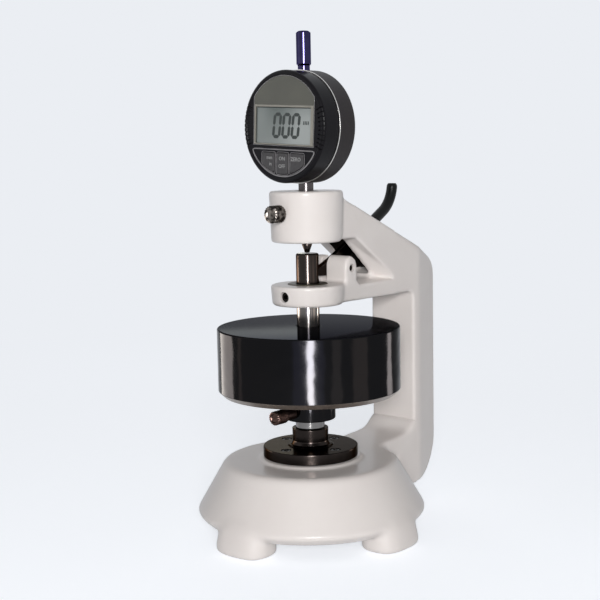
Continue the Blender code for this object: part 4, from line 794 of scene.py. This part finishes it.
# The thumbscrew holds the indicator a few degrees off square
FACE_TURN = -3.0
FACE = (Matrix.Translation((0, AXIS.translation.y, INDICATOR))
        @ Matrix.Rotation(math.radians(FACE_TURN), 4, "Z") @ TO_FRONT)

# The spark grain is drawn coarser than a real one so that it shows
abs_black = mottled("moulded black ABS", "151214", "211B1B", 14, 2.0,
                    relief=[(0.30, 2.0, 0.22, 0.05)], Roughness=0.50,
                    Specular_IOR_Level=0.28)

CASE_RADIUS = 29.7
CASE_BORE = 27.3
CASE_FRONT = 4.7
CASE_BACK = 7.5
case = turned("moulded_indicator_case", [
    (CASE_RADIUS, CASE_FRONT, 0.2), (27.0, CASE_FRONT), (27.0, CASE_FRONT + 3.3),
    (25.3, CASE_FRONT + 3.3), (25.3, 3.5), (CASE_BORE, 2.3), (CASE_BORE, 4.0 - CASE_BACK),
    (22.9, 4.0 - CASE_BACK), (22.9, 2.0 - CASE_BACK), (27.0, 2.0 - CASE_BACK),
    (27.0, -CASE_BACK, 0.2), (CASE_RADIUS, -CASE_BACK, 1.6)], 192, FACE, hollow=True)
carve(case, [bore(4.3, 8, at(0, 0, INDICATOR / MM - CASE_RADIUS - 3), 48),
             bore(3.5, 8, at(0, 0, INDICATOR / MM + CASE_BORE - 3), 48)])
dress(case, abs_black, "frame", ["indicator_case"])

CELL_DROP = 12.0
CELL_COVER_RADIUS = 11.5
COVER_SCREW_CIRCLE = 24.4
cover = turned("moulded_back_cover", [
    (0, -7.4), (26.7, -7.4, 0.4), (26.7, -5.8, 0.2), (0, -5.8)], 160, FACE)
cover_screws = circle(COVER_SCREW_CIRCLE, 4, 45)
cell_place = FACE @ moved(0, -CELL_DROP, 0)
cuts = [bore(CELL_COVER_RADIUS + 0.3, 6, cell_place @ moved(0, 0, -9), 96)]
cuts += [bore(1.8, 2.5, FACE @ moved(x, y, -9.5), 32) for x, y in cover_screws]
carve(cover, cuts)
dress(cover, abs_black, "frame", ["indicator_back_cover"])
for i, (x, y) in enumerate(cover_screws):
    centre = FACE @ moved(x, y, -7.0)
    screw = turned(f"cover_pan_screw_{i + 1}", [
        (0, 2.3), (0.8, 2.3, 0.2), (0.8, 0.1), (1.5, 0.1), (1.5, -0.6, 0.35), (0, -0.6)],
        32, centre)
    carve(screw, [extrude(oblong(-1.1, -0.17, 1.1, 0.17), -1.0, -0.2, centre)])
    dress(screw, nickel, "frame", [f"back_cover_screw_{i + 1}"])

cell_cover = turned("coin_slot_cover", [
    (0, -8.0), (CELL_COVER_RADIUS, -8.0, 0.4), (CELL_COVER_RADIUS, -6.1), (0, -6.1)],
    96, cell_place)
coin_slot = rounded([(-8.3, -0.8, 0.7), (8.3, -0.8, 0.7), (8.3, 0.8, 0.7), (-8.3, 0.8, 0.7)])
carve(cell_cover, [extrude(coin_slot, -9.5, -7.0, cell_place)])
dress(cell_cover, abs_black, "frame", ["cell_cover"])
recoat(nickel, "button_cell")

# Seam ring
# A thin ring of drawn aluminium, trapped between the housing and the turning front. It is
# satin and catches the light as a fine bright line.
satin = mottled("satin aluminium trim", "B9B7B4", "E6E3DE", 0.6, 2.0, Metallic=1.0,
                Roughness=0.28)
seam = turned("bright_seam_ring", [
    (27.4, 5.0), (29.9, 5.0, 0.15), (29.9, 5.6, 0.15), (27.4, 5.6)], 192, FACE, hollow=True)
dress(seam, satin, "frame", ["seam_ring"])

# Turning front of the indicator
# One ABS moulding: rim, grip notches at both sides, a raised lip round the button panel
# and openings for the window and three keys. It turns on the housing's spigot, and the
# user has left it turned a few degrees.
HEAD_TURN = -3.2
TURNED = FACE @ Matrix.Rotation(math.radians(HEAD_TURN), 4, "Z")
BEZEL_RADIUS = 29.4
BEZEL_BACK = 5.9
BEZEL_FRONT = 17.0
FACE_FRONT = 16.5
FACE_BACK = 14.7
RIM = 26.8
bezel = turned("moulded_bezel", [
    (0, FACE_BACK), (CASE_BORE, FACE_BACK), (CASE_BORE, BEZEL_BACK),
    (BEZEL_RADIUS, BEZEL_BACK, 0.3), (BEZEL_RADIUS, BEZEL_FRONT, 1.6),
    (RIM + 0.5, BEZEL_FRONT, 0.5), (RIM, FACE_FRONT, 0.3), (0, FACE_FRONT)], 192, FACE)
NOTCH_COUNT = 10
NOTCH_PITCH = 4.8
notch = rounded([(24.8, -0.42, 0.4), (31, -0.42), (31, 0.42), (24.8, 0.42, 0.4)])
notches = []
for side in (0, 180):
    for i in range(NOTCH_COUNT):
        turn = math.radians(side + NOTCH_PITCH * (i - (NOTCH_COUNT - 1) / 2))
        notches.append(extrude(notch, FACE_FRONT - 0.6, BEZEL_FRONT + 1.0,
                               TURNED @ Matrix.Rotation(turn, 4, "Z")))
carve(bezel, notches)

WINDOW_HALF = 21.6
WINDOW_BOTTOM = -9.7
WINDOW_ARCH = 26.4


def window(grow):
    """Arched window outline, grown by a clearance."""
    half, reach, low = WINDOW_HALF + grow, WINDOW_ARCH + grow, WINDOW_BOTTOM - grow
    spring = math.degrees(math.acos(half / reach))
    return [(-half, low), (half, low)] + arc(0, 0, reach, spring, 180 - spring, 48)


BUTTON_TOP = -13.7
BUTTON_ARC = 24.6
BUTTON_EDGES = {"left": (-15.0, -5.8), "middle": (-3.8, 3.8), "right": (5.8, 15.0)}


def panel(left, right, top, reach, passes):
    """Outline below a top line, between two sides and inside a circle, its corners eased."""
    chord = math.sqrt(reach ** 2 - top ** 2)
    left, right = max(left, -chord), min(right, chord)
    start, end = (math.degrees(math.asin(side / reach)) - 90 for side in (left, right))
    raw = [Vector((right, top)), Vector((left, top))]
    raw += [Vector(point) for point in arc(0, 0, reach, start, end, 40)]
    points = []
    for near, far in zip(raw, raw[1:] + raw[:1]):
        count = round((far - near).length / 0.3)
        points += [near.lerp(far, k / count) for k in range(count)]
    for _ in range(passes):
        points = [points[i - 1] / 4 + points[i] / 2 + points[(i + 1) % len(points)] / 4
                  for i in range(len(points))]
    return [tuple(point) for point in points]


def button(name, grow=0.0):
    """Outline of one key, cut below by the panel's round edge."""
    left, right = BUTTON_EDGES[name]
    return panel(left - grow, right + grow, BUTTON_TOP + grow, BUTTON_ARC + grow, 14)


cuts = [extrude(window(0.3), 12, 19, TURNED)]
cuts += [extrude(button(name, 0.3), 12, 19, TURNED) for name in BUTTON_EDGES]
carve(bezel, cuts)
# Polished tool faces leave this ABS smooth, with faint sink marks in a low gloss
smooth_abs = mottled("smooth black ABS", "0A090C", "100E12", 12, 2.0,
                     relief=[(12, 2.0, 0.2, 0.1)], Roughness=0.32, Specular_IOR_Level=0.12)
dress(bezel, smooth_abs, "display_head", ["bezel"], sharp=32)


# Painted highlight: the raised edges get a paler plastic for the light they catch
highlight_plastic = mottled("ABS edge, painted highlight", "4A484B", "9A9798", 6, 3.0, Roughness=0.30,
                      Specular_IOR_Level=0.5)


def bead(name, path, radius, height, material):
    """A closed round bead along a flat path on the turning front."""
    rings = []
    for i, (x, y) in enumerate(path):
        along = (Vector(path[(i + 1) % len(path)]) - Vector(path[i - 1])).normalized()
        rings.append([(x - along.y * out, y + along.x * out, height + up)
                      for out, up in circle(radius, 8)])
    work = bridge(rings + rings[:1], TURNED, caps=False)
    bmesh.ops.remove_doubles(work, verts=work.verts, dist=1e-7)
    dress(new_object(name, work), material, "display_head", even=False)


LIP_TOP = -11.9
LIP_REACH = 25.9
# The lip's pale colour is a painted highlight
bead("button_panel_lip", panel(-30, 30, LIP_TOP, LIP_REACH, 60), 0.38, FACE_FRONT, highlight_plastic)

# Window and display
# The window is clear acrylic printed olive-grey from behind, with an opening over the
# liquid-crystal panel. Dark seven-segment digits stand on its grey-green glass.
acrylic = mottled("back-printed acrylic", "3E3E35", "525146", 18, 1.0, Roughness=0.16,
                  Specular_IOR_Level=0.4, Coat_Weight=0.2, Coat_Roughness=0.05)
PANEL_LEFT = -20.2
PANEL_RIGHT = 19.5
PANEL_LOW = -8.9
PANEL_HIGH = 10.2
plate = new_object("printed_window", extrude(window(0), 15.0, FACE_FRONT + 0.2, TURNED, 0.15))
opening = rounded([(PANEL_LEFT, PANEL_LOW, 0.4), (PANEL_RIGHT, PANEL_LOW, 0.4),
                   (PANEL_RIGHT, PANEL_HIGH, 0.4), (PANEL_LEFT, PANEL_HIGH, 0.4)])
carve(plate, [extrude(opening, 13, 18, TURNED)])
dress(plate, acrylic, "display_head", ["display_window"], sharp=30)
# The window's pale edge is a painted highlight
bead("window_edge", window(0.15), 0.17, FACE_FRONT + 0.1, highlight_plastic)

# A paler band is printed round the opening, and a dark bead inside it is painted shadow
# where the opening's edge shades the glass
pale_print = mottled("pale screen print", "6F6C64", "9C988E", 5, 2.0, Roughness=0.35)
band = new_object("window_band", extrude(
    oblong(-21.3, -9.4, 21.3, PANEL_HIGH + 1.0), FACE_FRONT + 0.1, FACE_FRONT + 0.24, TURNED))
carve(band, [extrude(opening, 13, 18, TURNED)])
dress(band, pale_print, "display_head", sharp=30)

# Painted shade: the liquid crystal is made darker towards its upper left corner
lcd = mottled("liquid crystal glass", "46504C", "989D9B", 22, 0.0, Roughness=0.22,
              Coat_Weight=0.3, Coat_Roughness=0.06)
tree = lcd.node_tree
down = add_node(tree, "ShaderNodeVectorMath", {
    0: tree.nodes["Texture Coordinate"].outputs["Object"], 1: (0.55, 0, -0.84)},
    operation="DOT_PRODUCT")
level = -0.84 * INDICATOR
painted_shade_ramp = add_node(tree, "ShaderNodeMapRange", {
    "Value": down.outputs["Value"], "From Min": level - 20 * MM, "From Max": level + 16 * MM})
mixed = add_node(tree, "ShaderNodeMath", {
    0: painted_shade_ramp.outputs["Result"], 1: 0.8, 2: tree.nodes["Noise Texture"].outputs["Fac"]},
    operation="MULTIPLY_ADD")
share = add_node(tree, "ShaderNodeMath", {0: mixed.outputs["Value"], 1: -0.4}, operation="ADD")
tree.links.new(share.outputs["Value"], tree.nodes["Mix"].inputs["Factor"])
LCD_FRONT = 16.0
glass = new_object("lcd_glass", extrude(
    oblong(-20.9, -9.3, 20.9, 10.7), 13.0, LCD_FRONT, TURNED, 0.1))
dress(glass, lcd, "display_head", ["display_panel"])

# Switched segments look black-green and bleed a little at their edges
segment_and_shadow_ink = mottled("dark segments and painted shadow", "1B211F", "262D2A", 1.2, 1.0, Roughness=0.35)
DIGIT_WIDTH = 4.35
DIGIT_HEIGHT = 11.6
DIGIT_LOW = -5.2
STROKE = 1.8
STROKE_GAP = 0.12
SLANT = math.tan(math.radians(6))
# The six bars of a nought, each from one corner or half height of the digit to the next
NOUGHT = ((0, 1, 1, 1), (1, 1, 1, 0.5), (1, 0.5, 1, 0), (1, 0, 0, 0), (0, 0, 0, 0.5),
          (0, 0.5, 0, 1))


def bar(start, end):
    """One display segment, pointed at both ends, slanted as the digits are."""
    along = (end - start).normalized()
    side = Vector((-along.y, along.x)) * STROKE / 2
    near = start + along * (STROKE / 2 + STROKE_GAP)
    far = end - along * (STROKE / 2 + STROKE_GAP)
    corners = [start + along * STROKE_GAP, near - side, far - side, end - along * STROKE_GAP,
               far + side, near + side]
    return [(corner.x + corner.y * SLANT, corner.y) for corner in corners]


outlines = []
for left in (-7.3, -0.6, 6.1):
    for x0, y0, x1, y1 in NOUGHT:
        start = Vector((left + x0 * DIGIT_WIDTH, DIGIT_LOW + y0 * DIGIT_HEIGHT))
        end = Vector((left + x1 * DIGIT_WIDTH, DIGIT_LOW + y1 * DIGIT_HEIGHT))
        outlines.append(bar(start, end))
# Four short strokes stand for the small unit mark beside the digits
for x in (13.6, 14.7, 15.8, 16.9):
    outlines.append([(x, 1.4), (x + 0.6, 1.4), (x + 0.8, 3.2), (x + 0.2, 3.2)])
bars = [extrude(outline, LCD_FRONT - 0.05, LCD_FRONT + 0.06, TURNED) for outline in outlines]
digits = new_object("display_digits", gather(bars))
dress(digits, segment_and_shadow_ink, "display_head", even=False)
# A dark bead round the inside of the opening is painted shadow
bead("display_painted_shadow", oblong(PANEL_LEFT + 0.25, PANEL_LOW - 0.2, PANEL_RIGHT - 0.25,
                              PANEL_HIGH - 0.25), 0.3, LCD_FRONT + 0.1, segment_and_shadow_ink)

# Keys
# Three silicone rubber keys through the front, each in a raised edge: the unit, the switch
# and the zero. They stand on one mat behind and are screen printed with plain words.
# Silicone is dull and dark grey, with dust in its surface; the print on it has worn
rubber = mottled("grey silicone rubber", "363537", "4C4A4A", 1.5, 3.0, Roughness=0.55,
                 Specular_IOR_Level=0.3)
print_white = mottled("worn screen print", "6F6F70", "C4C4C2", 0.7, 3.0, Roughness=0.5)
KEY_FRONT = FACE_FRONT + 0.6
for name in BUTTON_EDGES:
    key = new_object(f"rubber_key_{name}", extrude(button(name), 14.0, KEY_FRONT, TURNED, 0.35))
    dress(key, rubber, f"{name}_key", [f"button_{name}"])
    # Each key's pale surround is a painted highlight
    bead(f"key_surround_{name}", button(name, 0.55), 0.16, FACE_FRONT, highlight_plastic)


PRINT_SIZE = 2.8


def words(name, text, x, y):
    """Small raised print in Blender's own plain letters."""
    letters = bpy.data.curves.new(name, "FONT")
    letters.body = text
    letters.size = PRINT_SIZE * MM
    letters.extrude = 0.04 * MM
    letters.align_x = "CENTER"
    letters.align_y = "CENTER"
    letters.resolution_u = 2
    flat = bpy.data.objects.new(name, letters)
    bpy.context.scene.collection.objects.link(flat)
    bpy.context.view_layer.update()
    mesh = bpy.data.meshes.new_from_object(
        flat.evaluated_get(bpy.context.evaluated_depsgraph_get()))
    mesh.transform(TURNED @ moved(x, y, KEY_FRONT + 0.01))
    bpy.data.objects.remove(flat)
    made = bpy.data.objects.new(name, mesh)
    bpy.context.scene.collection.objects.link(made)
    return made


for name, text, x, y, key in (("print_on", "ON", 0, -16.6, "middle_key"),
                              ("print_off", "OFF", 0, -20.6, "middle_key"),
                              ("print_mm", "mm", -9.2, -16.3, "left_key"),
                              ("print_inch", "in", -8.4, -19.6, "left_key"),
                              ("print_zero", "ZERO", 9.9, -16.6, "right_key")):
    dress(words(name, text, x, y), print_white, key, even=False)

# Inner parts of the indicator
# Boards, key mat, carrier, plunger and spring stay as the CAD has them; each gets the
# finish of the real thing: green solder mask, bare steel wire, chromed rod.
# Copper tracks under the mask make it a paler green in a pattern 2.5 mm wide
laminate = mottled("green solder mask", "0F4A2C", "1C6B3F", 2.5, 0.0, Roughness=0.35)
tree = laminate.node_tree
tracks = add_node(tree, "ShaderNodeTexVoronoi", {
    "Vector": tree.nodes["Texture Coordinate"].outputs["Object"], "Scale": 1 / (2.5 * MM)})
tree.links.new(tracks.outputs["Distance"], tree.nodes["Mix"].inputs["Factor"])
tree.nodes.remove(tree.nodes["Noise Texture"])
recoat(laminate, "scale_board", "circuit_board")
recoat(rubber, "key_mat")
recoat(abs_black, "scale_carrier")
recoat(chrome, "plunger_rod")
recoat(tool_steel, "return_spring")

# Contact point
# Hardened steel tip screwed into the plunger, turned to a cone and ground to a ball end
# that rests on the spindle.
TIP_LOW, TIP_HIGH = heights("contact_point")
contact = turned("ball_contact_point", [
    (0, TIP_LOW), (1.5, TIP_LOW, 0.9), (1.6, TIP_LOW + 1.2), (2.8, TIP_LOW + 4.4),
    (2.8, TIP_LOW + 8.2), (1.0, TIP_LOW + 8.2), (1.0, TIP_HIGH), (0, TIP_HIGH)], 64)
dress(contact, tool_steel, "plunger", ["contact_point"])

# Dust cap
# Turned tube over the plunger's upper end, screwed into the housing. Its chrome is smoked
# to a dark violet that mirrors the lamps sharply.
violet_chrome = mottled("smoked chrome plate", "2A2740", "413D5E", 5, 2.0, Metallic=1.0,
                        Roughness=0.10, Specular_Tint=(0.45, 0.44, 0.55, 1))
CAP_LOW, CAP_HIGH = heights("dust_cap")
CAP_SHOULDER = 251.7
cap = turned("chromed_dust_cap", [
    (0, CAP_HIGH - 3.0), (2.6, CAP_HIGH - 3.0), (2.6, CAP_LOW), (3.2, CAP_LOW),
    (3.2, CAP_SHOULDER, 0.5), (3.9, CAP_SHOULDER + 0.9, 0.5), (3.9, CAP_HIGH - 0.9, 0.6),
    (2.7, CAP_HIGH, 0.5), (0, CAP_HIGH)], 96)
dress(cap, violet_chrome, "frame", ["dust_cap"])

# Studio
# A pale floor that fades into an even backdrop, a soft lamp on the camera's side, a weak
# one on the left, one for the back, and strips that only show in the plated pieces.
scene = bpy.context.scene
scene.view_settings.view_transform = "Standard"
BACKDROP = linear("EBEEF3")
FLOOR_LIFT = 0.68
floor_work = bmesh.new()
bmesh.ops.create_circle(floor_work, cap_ends=True, segments=96, radius=6.0)
floor = new_object("studio_floor", floor_work)
paper, tree, shader = new_material("studio paper", Roughness=0.8)
shader.inputs["Base Color"].default_value = linear("E4E7EB")
place = add_node(tree, "ShaderNodeTexCoord")
distance = add_node(tree, "ShaderNodeVectorMath", {0: place.outputs["Object"]},
                    operation="LENGTH")
far = add_node(tree, "ShaderNodeMapRange", {
    "Value": distance.outputs["Value"], "From Min": 0.16, "From Max": 0.75},
    interpolation_type="SMOOTHSTEP")
path = add_node(tree, "ShaderNodeLightPath")
seen = add_node(tree, "ShaderNodeMath", {
    0: path.outputs["Is Camera Ray"], 1: path.outputs["Is Glossy Ray"]}, operation="MAXIMUM")
share = add_node(tree, "ShaderNodeMath", {
    0: far.outputs["Result"], 1: seen.outputs["Value"]}, operation="MULTIPLY")
even = add_node(tree, "ShaderNodeEmission", {"Color": BACKDROP, "Strength": 1.0})
lift = add_node(tree, "ShaderNodeMath", {0: seen.outputs["Value"], 1: FLOOR_LIFT},
                operation="MULTIPLY")
pale = add_node(tree, "ShaderNodeEmission", {
    "Color": BACKDROP, "Strength": lift.outputs["Value"]})
lit = add_node(tree, "ShaderNodeAddShader", {
    0: shader.outputs["BSDF"], 1: pale.outputs["Emission"]})
blend = add_node(tree, "ShaderNodeMixShader", {
    0: share.outputs["Value"], 1: lit.outputs["Shader"], 2: even.outputs["Emission"]})
tree.links.new(blend.outputs["Shader"], tree.nodes["Material Output"].inputs["Surface"])
floor.data.materials.append(paper)

world = bpy.data.worlds.new("studio")
scene.world = world
world.use_nodes = True
tree = world.node_tree
path = add_node(tree, "ShaderNodeLightPath")
seen = add_node(tree, "ShaderNodeMath", {
    0: path.outputs["Is Camera Ray"], 1: path.outputs["Is Glossy Ray"]}, operation="MAXIMUM")
shown = add_node(tree, "ShaderNodeMath", {
    0: seen.outputs["Value"], 1: path.outputs["Is Transmission Ray"]}, operation="MAXIMUM")
room = add_node(tree, "ShaderNodeBackground", {"Color": linear("F6F5F5"), "Strength": 0.10})
wall = add_node(tree, "ShaderNodeBackground", {"Color": BACKDROP, "Strength": 1.0})
blend = add_node(tree, "ShaderNodeMixShader", {
    0: shown.outputs["Value"], 1: room.outputs["Background"], 2: wall.outputs["Background"]})
tree.links.new(blend.outputs["Shader"], tree.nodes["World Output"].inputs["Surface"])

TARGET = Vector((0, AXIS.translation.y, 0.13))
plated = bpy.data.collections.new("plated pieces")
for piece in (weight, shaft, anvil, stem, cap, clamp, holder, presser, contact):
    plated.objects.link(piece)


def softbox(name, azimuth, elevation, distance, width, height, power, colour="FFFFFF"):
    """A rectangular lamp that faces the object, placed by its direction as a view is."""
    lamp = bpy.data.lights.new(name, "AREA")
    lamp.shape = "RECTANGLE"
    lamp.size = width
    lamp.size_y = height
    lamp.energy = power
    lamp.color = linear(colour)[:3]
    stand = bpy.data.objects.new(name, lamp)
    a, e = math.radians(azimuth), math.radians(elevation)
    away = Vector((math.sin(a) * math.cos(e), -math.cos(a) * math.cos(e), math.sin(e)))
    stand.location = TARGET + away * distance
    stand.rotation_euler = (-away).to_track_quat("-Z", "Y").to_euler()
    scene.collection.objects.link(stand)
    return stand


softbox("key_light", 41, 11.5, 1.4, 0.34, 0.34, 15.8)
softbox("fill_light", -40, 18, 1.5, 0.8, 0.8, 0.8)
# Keeps the back readable; it is left out of reflections, which it would wash out
back_fill = softbox("back_fill", 225, 6, 1.5, 0.8, 0.8, 6.0)
back_fill.visible_glossy = False


def only_mirrored(lamp, height):
    """Put a lamp at a height and let it do no more than show in the plated pieces."""
    lamp.location.z = height
    lamp.visible_diffuse = False
    lamp.visible_camera = False
    lamp.light_linking.receiver_collection = plated


CAMERA_SIDE = 40
STRIP_DISTANCE = 0.33


def reflected_strip(name, place, spread, low, high, radiance, colour):
    """An upright strip lamp that only plated pieces mirror. place is where it shows on the
    weight's rim and spread how wide, in degrees round the rim from the camera's side."""
    reach = STRIP_DISTANCE
    parallax = math.asin(WEIGHT_RADIUS * MM * math.sin(math.radians(place)) / reach)
    width = 2 * reach * math.tan(math.radians(spread))
    power = radiance * math.pi * width * (high - low)
    azimuth = CAMERA_SIDE + 2 * place - math.degrees(parallax)
    only_mirrored(softbox(name, azimuth, 0, reach, width, high - low, power, colour),
                  (low + high) / 2)


# The lamp's own reflection with its glow, then the room's paler and darker walls
reflected_strip("flash_strip", 0.9, 3.8, 0.004, 0.14, 92, "FEFEFF")
for spread, radiance in ((18, 0.9), (14, 0.9), (10.5, 1.2), (7.5, 2.0)):
    reflected_strip(f"flash_glow_{round(spread)}", -0.6, spread, 0.004, 0.14, radiance, "C4CAFF")
reflected_strip("left_wall", -63.5, 16, 0.004, 0.12, 21, "E8E0D8")
reflected_strip("left_post", -48, 3, 0.004, 0.12, 2.0, "D0BCB0")
reflected_strip("right_post", 17, 5, 0.004, 0.12, 1.8, "CFC4BC")
reflected_strip("right_wall", 33, 11, 0.004, 0.12, 2.0, "D0C0B4")
reflected_strip("right_edge", 59.6, 4.6, 0.004, 0.12, 24, "F2EAE4")
reflected_strip("cap_strip", 1, 4, 0.17, 0.36, 46, "F8F8FF")
# A pale wall far behind, low over the bench, which the weight's lapped top mirrors
BACK_HEIGHT = 0.026
BACK_RADIANCE = 5
for width in (0.08, 0.11, 0.15):
    only_mirrored(softbox(f"back_wall_{round(width * 100)}", 227.5, 0, 0.6, width, BACK_HEIGHT,
                          width * BACK_HEIGHT * math.pi * BACK_RADIANCE, "E4EADA"), 0.214)

# Camera
# It stands where the photograph was taken from, a little above the guide ring's height,
# with the slight tilt of a camera held by hand.
VIEW = math.radians(CAMERA_SIDE)
PITCH = math.radians(6.92)
ROLL = math.radians(-1.03)
DISTANCE = 0.645
CAMERA_HEIGHT = 0.2052
lens = bpy.data.cameras.new("photo_camera")
lens.sensor_width = 36
lens.lens = 72
# The lens's axis lies 8 of the photograph's 600 pixels beside its middle
lens.shift_x = -8 / 600
lens.clip_start = 0.01
camera = bpy.data.objects.new("photo_camera", lens)
scene.collection.objects.link(camera)
camera.location = (DISTANCE * math.sin(VIEW),
                   AXIS.translation.y - DISTANCE * math.cos(VIEW), CAMERA_HEIGHT)
camera.rotation_euler = (Matrix.Rotation(VIEW, 4, "Z")
                         @ Matrix.Rotation(math.pi / 2 - PITCH, 4, "X")
                         @ Matrix.Rotation(ROLL, 4, "Z")).to_euler()
scene.camera = camera
